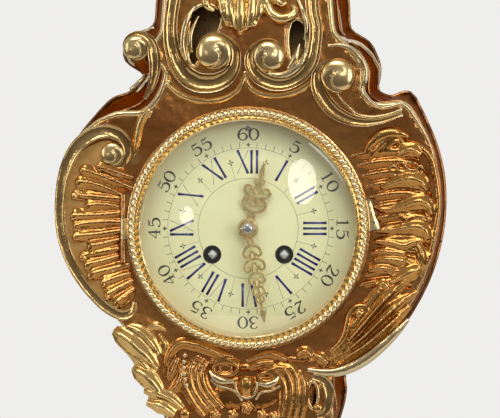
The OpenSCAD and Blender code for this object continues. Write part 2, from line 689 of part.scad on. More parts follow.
module hour_hand() on_wall() color(gilt) translate([0, 0, hour_hand_d]) {
    l = hour_len / 35;
    pierced_hand([[1.5, -4.6], [4.2, -3], [4.6, 0], [3.4, 4], [1.6, 8 * l], [2.4, 11 * l], [5.4, 15 * l],
        [5.6, 19 * l], [2.8, 22.5 * l], [1.3, 25 * l], [1.6, 29 * l], [0.3, 35 * l]],
        [[0.4, 12 * l], [3, 15.5 * l], [3.2, 18.5 * l], [0.4, 22 * l]], pipe_r + pipe_fit, hour_angle);
}

module minute_hand() on_wall() color(gilt) translate([0, 0, minute_hand_d]) {
    l = minute_len / 48;
    pierced_hand([[1.2, -3.8], [3.3, -2.2], [3.6, 0], [2.6, 3.2], [1.2, 8 * l], [2.2, 12 * l], [4.4, 17 * l],
        [3.8, 23 * l], [2.6, 27 * l], [1.6, 31 * l], [1, 34 * l], [1.2, 40 * l], [0.3, 48 * l]],
        [[0.4, 13 * l], [2.2, 17 * l], [2, 22 * l], [0.4, 27 * l]], cannon_r + pipe_fit, minute_angle);
}

module hand_collet() on_wall() color(gilt) translate([0, 0, minute_hand_d + hand_t + 0.1])
    disc(3, collet_h, centre_r + pipe_fit);

module hand_pin() on_wall() color(steel) translate([-4, 0, arbor_end - 0.7]) rotate([0, 90, 0])
    cylinder(r = hand_pin_r - pipe_fit, h = 8);

// Plates and pillars

pillar_end_r = 1.3;
nut_r = 2.9;
nut_h = 2;
barrel_arbor_r = 2.15;
barrel_pivot_r = 1.6;
click_r = 1.2;
ratchet_r = 7;
ratchet_teeth = 24;
ratchet_depth = 0.8;
ratchet_d = motion_d + 0.7;
ratchet_t = 1.8;
click_at = polar(11.5, -70);
click_t = 1.6;
stud_r = 0.9;
ear_r = 4;
pivots_at = [second, third, escape, strike_second, pin_axis, fly_axis, hammer_axis];

module pivot_holes(list) for (p = list) at(p) cylinder(r = pivot_r + pivot_gap, h = case_depth);

module front_plate() on_wall() color(brass) difference() {
    union() {
        translate([0, 0, front_plate_d]) disc(plate_r, plate_t);
        at([0, regulator_y - 1], front_plate_d) cylinder(r = ear_r, h = plate_t);
        at(minute_axis, front_plate_d) cylinder(r = stud_r, h = plate_t + 5);
        for (side = [-1, 1]) at([side * (wind_x + click_at[0]), click_at[1] - wind_y], front_plate_d)
            cylinder(r = click_r, h = plate_t + 2.6);
    }
    pivot_holes(concat(pivots_at, [pallet_axis]));
    cylinder(r = centre_r + pivot_gap, h = case_depth);
    for (p = [going, strike]) at(p) cylinder(r = barrel_arbor_r + pivot_gap, h = case_depth);
    at([0, regulator_y]) cylinder(r = regulator_r + pivot_gap, h = case_depth);
    for (p = pillars_at) at(p) cylinder(r = pillar_end_r + pipe_fit, h = case_depth);
    for (a = foot_angles) at(polar(foot_r, a)) cylinder(r = foot_pin_r + screw_gap, h = case_depth);
}

module rear_plate() on_wall() color(brass) difference() {
    translate([0, 0, rear_plate_d]) disc(plate_r, plate_t);
    pivot_holes([second, third, escape, pin_axis, fly_axis, centre]);
    for (p = [strike_second, hammer_axis]) at(p) cylinder(r = arbor_r + pivot_gap, h = case_depth);
    at(pallet_axis) cylinder(r = crutch_hole_r, h = case_depth);
    for (p = [going, strike]) at(p) cylinder(r = barrel_pivot_r + pivot_gap, h = case_depth);
    for (p = pillars_at) at(p) cylinder(r = pillar_end_r + pipe_fit, h = case_depth);
}

module pillars() on_wall() color(brass) for (p = pillars_at) {
    at(p, train_d) cylinder(r = pillar_r, h = plate_gap);
    at(p, rear_plate_d - nut_h) cylinder(r = pillar_end_r, h = plate_gap + 2 * plate_t + 2 * nut_h);
}

module pillar_nuts() on_wall() color(steel) for (p = pillars_at) for (d = [rear_plate_d - nut_h, motion_d])
    at(p, d) difference() {
        cylinder(r = nut_r, h = nut_h, $fn = 6);
        translate([0, 0, -1]) cylinder(r = pillar_end_r + pipe_fit, h = nut_h + 2);
    }

// Barrels and winding

drum_r = pitch(barrel_teeth, barrel_m) - 1.4 * barrel_m - 1.2;
drum_wall = 1.2;
drum_bore = drum_r - drum_wall;
core_r = 4;
spring_t = 0.5;
spring_turns = 6;
turn_points = 14;
spring_room = barrel_h - great_t - drum_wall;
square_w = 3.2;
square_d = motion_d + 4;
square_end = dial_d + dial_t + 0.6;

function barrel_phase(at_axis, mate) = turn_of(mate - at_axis);

module barrel(phase) difference() {
    union() {
        translate([0, 0, barrel_d]) linear_extrude(great_t)
            polygon(tooth_ring(barrel_teeth, barrel_m, phase, wheel_width, wheel_rise, wheel_fall));
        translate([0, 0, barrel_d]) cylinder(r = drum_r, h = barrel_h);
    }
    translate([0, 0, barrel_d + great_t]) cylinder(r = drum_bore, h = spring_room);
    translate([0, 0, barrel_d - 1]) cylinder(r = barrel_arbor_r + pivot_gap, h = barrel_h + 2);
}
module going_barrel() on_wall() color(brass) at(going) barrel(barrel_phase(going, second));
module strike_barrel() on_wall() color(brass) at(strike) barrel(barrel_phase(strike, strike_second));

// Saw-toothed ring, with its steep side facing one way
function saw(teeth, tip, depth, way) = [for (k = [0:teeth - 1]) let(a = k * 360 / teeth, step = 360 / teeth)
    for (s = way > 0 ? [[0, 0], [0.1, 1], [0.22, 1]] : [[-0.22, 1], [-0.1, 1], [0, 0]])
        polar(tip - depth * (1 - s[1]), a + s[0] * step)];

module winding_arbor(way) {
    translate([0, 0, rear_plate_d]) cylinder(r = barrel_pivot_r, h = barrel_d - rear_plate_d);
    translate([0, 0, barrel_d - clear]) cylinder(r = barrel_arbor_r, h = square_d + 0.5 - barrel_d);
    translate([0, 0, barrel_d + great_t + clear]) cylinder(r = core_r, h = spring_room - 2 * clear);
    translate([0, 0, ratchet_d]) linear_extrude(ratchet_t)
        polygon(saw(ratchet_teeth, ratchet_r, ratchet_depth, way));
    rotate(45) translate([-square_w / 2, -square_w / 2, square_d])
        cube([square_w, square_w, square_end - square_d]);
}
module going_arbor() on_wall() color(steel) at(going) winding_arbor(1);
module strike_arbor() on_wall() color(steel) at(strike) winding_arbor(-1);

module mainspring() {
    points = spring_turns * turn_points;
    from = core_r + clear + spring_t / 2;
    to = drum_bore - clear - spring_t / 2;
    line = [for (k = [0:points]) [from + (to - from) * k / points, k * 360 / turn_points]];
    translate([0, 0, barrel_d + great_t + 2 * clear]) linear_extrude(spring_room - 4 * clear) polygon(concat(
        [for (p = line) polar(p[0] + spring_t / 2, p[1])],
        [for (k = [points:-1:0]) polar(line[k][0] - spring_t / 2, line[k][1])]));
}
module going_mainspring() on_wall() color(steel) at(going) mainspring();
module strike_mainspring() on_wall() color(steel) at(strike) mainspring();

// Pawl that stops its ratchet from turning back
module click() at(click_at, ratchet_d) linear_extrude(click_t) offset(delta = eps) {
    tip = polar(ratchet_r + 0.45, -38) - click_at;
    difference() {
        union() {
            circle(r = click_r + 1);
            polygon([polar(1.9, turn_of(tip) + 90), tip + [0.5, 0.6], tip, polar(1.9, turn_of(tip) - 90)]);
        }
        circle(r = click_r + pivot_gap + eps);
    }
}
module going_click() on_wall() color(steel) at(going) click();
module strike_click() on_wall() color(steel) at(strike) mirror([1, 0, 0]) click();

// Going train

module pinion_for(wheel_d, wheel_h, leaves, m, mate_turn)
    translate([0, 0, wheel_d - pinion_over])
        pinion(leaves, m, mate_turn + 180 / leaves, wheel_h + 2 * pinion_over);

module second_wheel() on_wall() color(brass) at(second) {
    arbor();
    pinion_for(barrel_d, great_t, low_leaves, barrel_m, turn_of(going - second));
    translate([0, 0, second_d]) wheel(second_teeth, second_m, turn_of(centre - second), wheel_t);
}

module centre_wheel() on_wall() color(brass) difference() {
    union() {
        translate([0, 0, rear_plate_d]) cylinder(r = pivot_r, h = plate_t + 1);
        translate([0, 0, train_d + 0.4]) cylinder(r = centre_r, h = arbor_end - train_d - 0.4);
        pinion_for(second_d, wheel_t, low_leaves, second_m, turn_of(second));
        translate([0, 0, centre_d]) wheel(high_teeth, centre_m, turn_of(third), wheel_t);
    }
    translate([-4, 0, arbor_end - 0.7]) rotate([0, 90, 0]) cylinder(r = hand_pin_r, h = 8);
}

module third_wheel() on_wall() color(brass) at(third) {
    arbor();
    pinion_for(centre_d, wheel_t, high_leaves, centre_m, turn_of(centre - third));
    translate([0, 0, third_d]) wheel(high_teeth, third_m, turn_of(escape - third), wheel_t);
}

module escape_wheel() on_wall() color(brass) at(escape) {
    arbor();
    pinion_for(third_d, wheel_t, high_leaves, third_m, turn_of(third - escape));
    translate([0, 0, escape_d]) difference() {
        linear_extrude(wheel_t) polygon(saw(escape_teeth, escape_r, 1.2, 1));
        difference() {
            translate([0, 0, -1]) disc(escape_r - 2.4, wheel_t + 2, 2.2);
            for (k = [0:4]) rotate(k * 72) translate([0, -0.5, -2]) cube([escape_r, 1, wheel_t + 4]);
        }
    }
}

// Anchor over the escape wheel, its arbor, and the crutch that nudges the pendulum
crutch_hole_r = 2.6;
cock_t = 1.4;
cock_gap = 1.6;
cock_d = rear_plate_d - cock_gap - cock_t;
rod_r = 1.2;
crutch_len = 32;
crutch_t = 0.8;
crutch_d = rear_plate_d - crutch_t - 0.4;
fork_r = 0.7;
fork_x = rod_r + clear + fork_r;
anchor_gap = 1.2;
anchor_w = 1.8;

module pallets() on_wall() color(steel) {
    at(pallet_axis) {
        translate([0, 0, crutch_d]) cylinder(r = arbor_r, h = front_plate_d - 0.4 - crutch_d);
        translate([0, 0, cock_d]) cylinder(r = pivot_r, h = motion_d - cock_d);
        translate([-1, anchor_gap + anchor_w + escape_r - pallet_reach - 0.4, escape_d])
            cube([2, pallet_reach + 0.4 - anchor_gap - anchor_w - escape_r, wheel_t]);
        translate([0, 0, escape_d]) cylinder(r = 1.8, h = wheel_t);
        translate([0, 0, crutch_d]) cylinder(r = 2, h = crutch_t);
        translate([-1, -crutch_len, crutch_d]) cube([2, crutch_len, crutch_t]);
        translate([-fork_x - fork_r, -crutch_len - 2, crutch_d]) cube([2 * (fork_x + fork_r), 3, crutch_t]);
        for (side = [-1, 1]) translate([side * fork_x, -crutch_len - 0.5, pendulum_d - 2])
            cylinder(r = fork_r, h = crutch_d + crutch_t - pendulum_d + 2);
    }
    at(escape, escape_d) rotate(40) rotate_extrude(angle = 100)
        translate([escape_r + anchor_gap, 0]) square([anchor_w, wheel_t]);
}

// Motion work

cannon_d = motion_d + 0.5;
cannon_h = 2.2;
minute_wheel_d = motion_d + 0.9;
hour_d = cannon_d + cannon_h + 0.3;

module cannon_pinion() on_wall() color(brass) difference() {
    union() {
        translate([0, 0, cannon_d])
            pinion(cannon_leaves, cannon_m, turn_of(minute_axis) + 180 / cannon_leaves, cannon_h);
        translate([0, 0, cannon_d])
            cylinder(r = pitch(cannon_leaves, cannon_m) - 1.2 * cannon_m, h = cannon_h);
        translate([0, 0, cannon_d]) cylinder(r = cannon_r, h = minute_hand_d + hand_t - cannon_d);
    }
    cylinder(r = centre_r + pivot_gap, h = 2 * case_depth);
}

module minute_wheel() on_wall() color(brass) at(minute_axis) difference() {
    union() {
        inward = turn_of(-minute_axis);
        translate([0, 0, minute_wheel_d]) wheel(minute_teeth, cannon_m, inward, wheel_t, 2.4, 4);
        translate([0, 0, minute_wheel_d])
            pinion(minute_leaves, hour_m, inward + 180 / minute_leaves, hour_d + wheel_t - minute_wheel_d);
    }
    cylinder(r = stud_r + pivot_gap, h = case_depth);
}

module hour_wheel() on_wall() color(brass) difference() {
    union() {
        translate([0, 0, hour_d]) wheel(hour_teeth, hour_m, turn_of(minute_axis), wheel_t, 4, 4);
        translate([0, 0, hour_d]) cylinder(r = pipe_r, h = hour_hand_d + hand_t - hour_d);
    }
    cylinder(r = cannon_r + pivot_gap, h = 2 * case_depth);
}

// Pendulum: its length follows from the train's beat
beats_per_hour = 2 * escape_teeth * pow(high_teeth / high_leaves, 2);
pendulum_len = 9810 * pow(3600 / beats_per_hour / PI, 2);
bob_y = pallet_axis[1] - pendulum_len;
spring_w = 2;
strip_t = 0.3;
spring_top = pallet_axis[1] + 7;
spring_low = pallet_axis[1] - 2.2;
clip_low = pallet_axis[1] - 6;
cock_top = regulator_y + 3;
cock_low = pallet_axis[1] - 3;
cock_half = 12;

module back_cock() on_wall() color(brass) difference() {
    union() {
        translate([-cock_half, cock_low, cock_d]) cube([2 * cock_half, cock_top - cock_low, cock_t]);
        for (side = [-1, 1]) translate([side * (cock_half - 2.5) - 2.5, cock_low + 5, cock_d])
            cube([5, 6, cock_gap + cock_t]);
        for (side = [-1, 1]) translate([side * (strip_t / 2 + 1.6) - 1.5, cock_low + 5.5, pendulum_d - 1.6])
            cube([3, 5, cock_d - pendulum_d + 1.6 + eps]);
    }
    at(pallet_axis) cylinder(r = pivot_r + pivot_gap, h = case_depth);
    at([0, regulator_y]) cylinder(r = regulator_r + pivot_gap, h = case_depth);
}

module suspension_spring() on_wall() color(steel)
    translate([-strip_t / 2, spring_low, pendulum_d - spring_w / 2])
        cube([strip_t, spring_top - spring_low, spring_w]);

module regulator() on_wall() color(steel) at([0, regulator_y]) {
    translate([0, 0, cock_d - 2.4]) cylinder(r = regulator_r, h = dial_d - cock_d + 2.4);
    translate([0, 0, cock_d - 2.4]) cylinder(r = 2, h = 2);
    translate([-0.65, -0.65, dial_d - 1]) cube([1.3, 1.3, 3]);
}

module pendulum_rod() on_wall() color(steel) {
    for (side = [-1, 1]) translate([side * (strip_t / 2 + clear + 0.8) - 0.8, clip_low, pendulum_d - 1.2])
        cube([1.6, pallet_axis[1] - clip_low - 0.8, 2.4]);
    translate([-strip_t / 2 - clear - 1.6, clip_low - 1.5, pendulum_d - 1.2])
        cube([strip_t + 2 * clear + 3.2, 2, 2.4]);
    translate([0, bob_y - bob_r - 5, pendulum_d]) rotate([-90, 0, 0])
        cylinder(r = rod_r, h = clip_low - bob_y + bob_r + 5);
}

// Lens-shaped bob with the rating nut that carries it
module pendulum_bob() on_wall() color(brass) translate([0, bob_y, pendulum_d]) difference() {
    union() {
        rotate_extrude()
            polygon([[0, -4], [bob_r * 0.7, -3], [bob_r, -0.6], [bob_r, 0.6], [bob_r * 0.7, 3], [0, 4]]);
        translate([0, -bob_r - 3.5, 0]) rotate([-90, 0, 0]) cylinder(r = 3, h = 4.5);
    }
    translate([0, -2 * bob_r, 0]) rotate([-90, 0, 0]) cylinder(r = rod_r + pivot_gap, h = 4 * bob_r);
}

// Strike train

count_r = 13;
count_t = 1.1;
count_d = rear_plate_d - count_t - 0.4;

// Rim steps between the notches grow with the hours, one to twelve
function hours_before(h) = h * (h + 1) / 2 - 1;
blows_in_all = 78;

module strike_second_wheel() on_wall() color(brass) at(strike_second) {
    arbor();
    translate([0, 0, count_d]) cylinder(r = arbor_r, h = train_d + 1 - count_d);
    pinion_for(barrel_d, great_t, low_leaves, barrel_m, turn_of(strike - strike_second));
    translate([0, 0, second_d]) wheel(second_teeth, second_m, turn_of(pin_axis - strike_second), wheel_t);
    translate([0, 0, count_d]) difference() {
        disc(count_r, count_t);
        for (h = [1:12]) rotate(hours_before(h) * 360 / blows_in_all)
            translate([count_r - 1.6, -0.7, -1]) cube([3, 1.4, 4]);
        for (k = [0:3]) rotate(45 + 90 * k) translate([count_r * 0.55, 0, -1])
            cylinder(r = 3, h = count_t + 2);
    }
}

pin_count = 10;
pin_circle = pitch(pin_teeth, pin_m) - 2;
module pin_wheel() on_wall() color(brass) at(pin_axis) {
    arbor();
    pinion_for(second_d, wheel_t, pin_leaves, second_m, turn_of(strike_second - pin_axis));
    translate([0, 0, centre_d]) wheel(pin_teeth, pin_m, turn_of(fly_axis - pin_axis), wheel_t);
    for (k = [0:pin_count - 1]) rotate(k * 360 / pin_count) translate([pin_circle, 0, centre_d])
        cylinder(r = 0.45, h = wheel_t + 1.2);
}

module fly() on_wall() color(brass) at(fly_axis) {
    arbor();
    pinion_for(centre_d, wheel_t, high_leaves, pin_m, turn_of(pin_axis - fly_axis));
    translate([-3.8, -0.35, train_d + 6]) cube([7.6, 0.7, barrel_h - 4]);
}

head_r = 2.6;
hammer_gap = 0.5;
head_at = polar(bell_r + head_r + hammer_gap, -50);
hammer_arm = norm(head_at - hammer_axis);
arm_d = rear_plate_d - 1.6;
tail_turn = turn_of(pin_axis - hammer_axis);
tail_len = norm(pin_axis - hammer_axis) - pin_circle - 1.2;
module hammer() on_wall() color(steel) {
    at(hammer_axis) {
        arbor();
        translate([0, 0, arm_d]) cylinder(r = arbor_r, h = train_d + 1 - arm_d);
        translate([0, 0, arm_d]) cylinder(r = 2, h = 1.2);
        rotate(turn_of(head_at - hammer_axis)) translate([0, -1, arm_d]) cube([hammer_arm, 2, 1.2]);
        rotate(tail_turn) translate([0, -0.7, centre_d + wheel_t + 0.4]) cube([tail_len, 1.4, 0.7]);
    }
    at(head_at, bell_back + bell_h - 4) cylinder(r = head_r, h = arm_d + 1.2 - bell_back - bell_h + 4);
}

bell_hole_r = 1.5;
module bell() on_wall() color(brass) translate([0, 0, bell_back]) rotate_extrude() {
    outer = [[bell_hole_r, 0], [bell_r * 0.35, 0.4], [bell_r * 0.68, 2.2], [bell_r * 0.87, 5],
             [bell_r * 0.97, 8.4], [bell_r, bell_h]];
    polygon(concat(outer, [[bell_r - bell_t, bell_h], [bell_r * 0.97 - bell_t, 8.8],
        [bell_r * 0.87 - bell_t * 0.8, 6.1], [bell_r * 0.68 - bell_t * 0.3, 3.7],
        [bell_r * 0.35, bell_t + 0.4], [bell_hole_r, bell_t]]));
}

stand_at = [-36, 12];
stand_r = 1.8;
stand_t = 1;
stand_half = 2.2;
bell_boss_r = 3;
bell_nut_h = 1.5;
nut_room = 0.12;  // the bell rises this much under its nut
module bell_stand() on_wall() color(steel) {
    stand_d = bell_back - 0.6 - stand_t;
    seat_d = stand_d + stand_t / 2;
    at(stand_at, seat_d) cylinder(r = stand_r, h = rear_plate_d - seat_d);
    rotate(turn_of(stand_at)) translate([-stand_half, -stand_half, stand_d])
        cube([norm(stand_at) + 2 * stand_half, 2 * stand_half, stand_t]);
    translate([0, 0, seat_d]) cylinder(r = bell_boss_r, h = bell_back - seat_d);
    translate([0, 0, seat_d]) cylinder(r = bell_hole_r - pipe_fit,
        h = bell_back + bell_t + 3 - seat_d);
    translate([0, 0, bell_back + bell_t + nut_room]) cylinder(r = bell_boss_r, h = bell_nut_h);
}

case_sides();
case_front();
crest_scrolls();
crest_shell();
shoulder_volutes();
left_rocaille();
right_rocaille();
right_acanthus();
lower_left_leaves();
apron_cartouche();
pendant();
back_plate();
case_screws();
hanging_bracket();
dial_ring();
bezel();
bezel_glass();
glass_retainer();
bezel_hinge_pin();
movement_straps();
strap_screws();
rear_ring();
rear_door();
rear_door_pin();
dial();
hour_hand();
minute_hand();
hand_collet();
hand_pin();
front_plate();
rear_plate();
pillars();
pillar_nuts();
going_barrel();
going_arbor();
going_mainspring();
going_click();
strike_barrel();
strike_arbor();
strike_mainspring();
strike_click();
second_wheel();
centre_wheel();
third_wheel();
escape_wheel();
pallets();
cannon_pinion();
minute_wheel();
hour_wheel();
back_cock();
regulator();
suspension_spring();
pendulum_rod();
pendulum_bob();
strike_second_wheel();
pin_wheel();
fly();
hammer();
bell();
bell_stand();
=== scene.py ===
import json
from math import atan2, cos, hypot, pi, radians, sin, sqrt

import bpy
import bmesh
from mathutils import Matrix, Vector
from mathutils.bvhtree import BVHTree
from mathutils.kdtree import KDTree


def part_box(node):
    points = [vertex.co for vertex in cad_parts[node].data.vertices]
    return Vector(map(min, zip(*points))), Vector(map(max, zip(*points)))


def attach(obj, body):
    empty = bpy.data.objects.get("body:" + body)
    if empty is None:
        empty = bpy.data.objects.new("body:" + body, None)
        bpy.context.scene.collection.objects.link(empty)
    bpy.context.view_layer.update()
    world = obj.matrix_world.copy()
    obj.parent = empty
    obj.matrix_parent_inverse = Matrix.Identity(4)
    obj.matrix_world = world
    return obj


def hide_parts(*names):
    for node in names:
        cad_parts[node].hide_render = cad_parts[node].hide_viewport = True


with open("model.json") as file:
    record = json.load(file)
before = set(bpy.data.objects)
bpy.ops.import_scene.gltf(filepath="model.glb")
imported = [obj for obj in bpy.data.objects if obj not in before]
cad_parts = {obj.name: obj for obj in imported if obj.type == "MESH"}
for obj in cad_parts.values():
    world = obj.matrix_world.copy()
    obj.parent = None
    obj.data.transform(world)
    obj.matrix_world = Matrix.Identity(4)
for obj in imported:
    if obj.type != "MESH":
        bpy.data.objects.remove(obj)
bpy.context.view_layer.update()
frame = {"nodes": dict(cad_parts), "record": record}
print("frame loaded:", len(frame["nodes"]), "nodes")

# Everything is drawn in mm as the clock is looked at:
# x right, y up from the dial's middle, z out from the wall
dialLow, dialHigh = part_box("dial")
axisHeight = (dialLow[2] + dialHigh[2]) / 2
faceDepth = -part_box("case_front")[0][1] * 1000
castFloor = faceDepth - 1.6  # ornaments are cut level here, inside the face
groundFloor = faceDepth - 1.2  # flat grounds start here
fineVoxel, broadVoxel, handVoxel = 0.42, 0.45, 0.16
toWall = (Matrix.Translation((0, 0, axisHeight)) @ Matrix.Rotation(radians(90), 4, 'X')
          @ Matrix.Scale(0.001, 4))


# Node helpers for the materials

def feed(tree, socket, value):
    # another node's output is linked, a number or colour is set
    if isinstance(value, bpy.types.NodeSocket):
        tree.links.new(value, socket)
    else:
        socket.default_value = (*value, 1) if isinstance(value, tuple) else value


def nodeIn(tree, kind, inputs={}, **settings):
    node = tree.nodes.new(kind)
    for name, value in settings.items():
        setattr(node, name, value)
    for socket, value in inputs.items():
        feed(tree, node.inputs[socket], value)
    return node


def times(tree, first, second):
    return nodeIn(tree, 'ShaderNodeMath', {0: first, 1: second}, operation='MULTIPLY').outputs[0]


def mapped(tree, value, low, high, toLow=0.0, toHigh=1.0):
    spread = {0: value, 1: low, 2: high, 3: toLow, 4: toHigh}
    return nodeIn(tree, 'ShaderNodeMapRange', spread, clamp=True).outputs[0]


def mixColours(tree, factor, first, second):
    return nodeIn(tree, 'ShaderNodeMix', {"Factor": factor, 6: first, 7: second}, data_type='RGBA',
                  clamp_factor=True).outputs[2]


def newGroup(name, inputs, outputs):
    group = bpy.data.node_groups.new(name, 'ShaderNodeTree')
    for label, default in inputs.items():
        socket = group.interface.new_socket(label, in_out='INPUT', socket_type='NodeSocketFloat')
        socket.default_value = default
    for label in outputs:
        group.interface.new_socket(label, in_out='OUTPUT', socket_type='NodeSocketFloat')
    return group, nodeIn(group, 'NodeGroupInput').outputs


def castingGroup():
    # how proud or sunk a spot of a casting is, as masks for its colour: Height (lower spots darker: matte
    # ground and painted shade), Ridge (sharp crests paler: rubbed gilding and painted highlight) and Recess
    # (hollows darkened: painted shade)
    group, given = newGroup("wearAndPaintedLight", {"Low": 0.069, "High": 0.077, "Ridges": 1.0, "Recesses": 1.0},
                            ["Height", "Ridge", "Recess"])
    place = nodeIn(group, 'ShaderNodeTexCoord').outputs['Object']
    out = times(group, nodeIn(group, 'ShaderNodeSeparateXYZ', {0: place}).outputs['Y'], -1)
    pointed = nodeIn(group, 'ShaderNodeNewGeometry').outputs['Pointiness']
    nodeIn(group, 'NodeGroupOutput', {
        "Height": mapped(group, out, given['Low'], given['High']),
        "Ridge": times(group, mapped(group, pointed, 0.505, 0.60), given['Ridges']),
        "Recess": times(group, mapped(group, pointed, 0.49, 0.40), given['Recesses'])})
    return group


def tarnishGroup():
    # cloudy and speckled unevenness of old gilding, and a fine hammered height
    group, given = newGroup("tarnish", {"Clouds": 90.0, "Specks": 900.0}, ["Cloud", "Speck", "Height"])
    place = nodeIn(group, 'ShaderNodeTexCoord').outputs['Object']
    noises = [nodeIn(group, 'ShaderNodeTexNoise', {"Vector": place, "Scale": given[size], "Detail": detail})
              for size, detail in (("Clouds", 4), ("Specks", 2))]
    clouds, specks = (noise.outputs['Fac'] for noise in noises)
    height = nodeIn(group, 'ShaderNodeMath', {0: specks, 1: 0.35, 2: clouds}, operation='MULTIPLY_ADD')
    nodeIn(group, 'NodeGroupOutput', {
        "Cloud": mapped(group, clouds, 0.35, 0.68), "Speck": mapped(group, specks, 0.56, 0.72),
        "Height": height.outputs[0]})
    return group


wearAndPaintedLight = castingGroup()
tarnish = tarnishGroup()


def newMaterial(name, fixed):
    material = bpy.data.materials.new(name)
    material.use_nodes = True
    tree = material.node_tree
    shader = tree.nodes['Principled BSDF'].inputs
    for socket, value in fixed.items():
        feed(tree, shader[socket], value)
    return material, tree, shader


def tarnishIn(tree, grain):
    inputs = dict(zip(("Clouds", "Specks"), grain))
    return nodeIn(tree, 'ShaderNodeGroup', inputs, node_tree=tarnish).outputs


def bumped(tree, height, strength, distance, under=None):
    bump = nodeIn(tree, 'ShaderNodeBump', {"Strength": strength, "Distance": distance, "Height": height})
    if under is not None:
        feed(tree, bump.inputs['Normal'], under)
    return bump.outputs[0]


def dress(tree, shader, colour, cloud, rough, normal):
    feed(tree, shader['Base Color'], colour)
    feed(tree, shader['Roughness'], mapped(tree, cloud, 0, 1, *rough))
    feed(tree, shader['Normal'], normal)


def giltMaterial(name, tones):
    metal, tree, shader = newMaterial(name, {"Metallic": 1.0, "Specular Tint": tones["edge"]})
    low, high = tones["heights"]
    wear = nodeIn(tree, 'ShaderNodeGroup', node_tree=wearAndPaintedLight, inputs={
        "Low": low, "High": high, "Ridges": tones["ridges"], "Recesses": tones["recesses"]}).outputs
    cloudy = tarnishIn(tree, tones["grain"])
    # low spots take the deep tone and high spots the mid tone: partly matte ground, partly painted shade
    colour = mixColours(tree, wear['Height'], tones["deep"], tones["mid"])
    colour = mixColours(tree, times(tree, cloudy['Cloud'], tones["clouding"]), colour, tones["cloud"])
    # painted highlight on sharp crests, partly rubbed gilding
    colour = mixColours(tree, wear['Ridge'], colour, tones["bright"])
    # painted shade in the recesses, in the same dark colour as the dirt specks below
    colour = mixColours(tree, wear['Recess'], colour, tones["grimeAndShade"])
    colour = mixColours(tree, times(tree, cloudy['Speck'], tones["specks"]), colour, tones["grimeAndShade"])
    grain = bumped(tree, cloudy['Height'], tones["bump"], 0.0004)
    dents = bumped(tree, cloudy['Cloud'], 0.3, tones["dent"], grain)
    dress(tree, shader, colour, cloudy['Cloud'], tones["rough"], dents)
    return metal


def plainMetal(name, tones):
    # turned and polished movement metal with faint scratches
    metal, tree, shader = newMaterial(name, {"Metallic": 1.0})
    cloudy = tarnishIn(tree, tones["grain"])
    colour = mixColours(tree, cloudy['Cloud'], tones["light"], tones["dark"])
    colour = mixColours(tree, times(tree, cloudy['Speck'], 0.35), colour, tones["spot"])
    scratches = bumped(tree, cloudy['Height'], 0.06, 0.0003)
    dress(tree, shader, colour, cloudy['Cloud'], tones["rough"], scratches)
    return metal


def paintMaterial(name, paint):
    coat, tree, shader = newMaterial(name, {"Coat Weight": paint["coat"], "Coat Roughness": 0.04})
    cloudy = tarnishIn(tree, paint["grain"])
    colour = mixColours(tree, cloudy['Cloud'], paint["light"], paint["dark"])
    ripple = bumped(tree, cloudy['Height'], paint["bump"], 0.0002)
    dress(tree, shader, colour, cloudy['Cloud'], paint["rough"], ripple)
    return coat


def glassMaterial():
    clear, tree, shader = newMaterial("clockGlass", {
        "Base Color": (0.98, 1.0, 0.985), "Transmission Weight": 1.0, "IOR": 1.5})
    smear = nodeIn(tree, 'ShaderNodeGroup', {"Clouds": 60}, node_tree=tarnish).outputs['Cloud']
    feed(tree, shader['Roughness'], mapped(tree, smear, 0, 1, 0.0, 0.02))
    # shadow rays pass, so that the glass doesn't darken the dial
    shadow = nodeIn(tree, 'ShaderNodeLightPath').outputs['Is Shadow Ray']
    through = nodeIn(tree, 'ShaderNodeBsdfTransparent').outputs[0]
    solid = tree.nodes['Principled BSDF'].outputs[0]
    mix = nodeIn(tree, 'ShaderNodeMixShader', {0: shadow, 1: solid, 2: through})
    feed(tree, tree.nodes['Material Output'].inputs['Surface'], mix.outputs[0])
    return clear
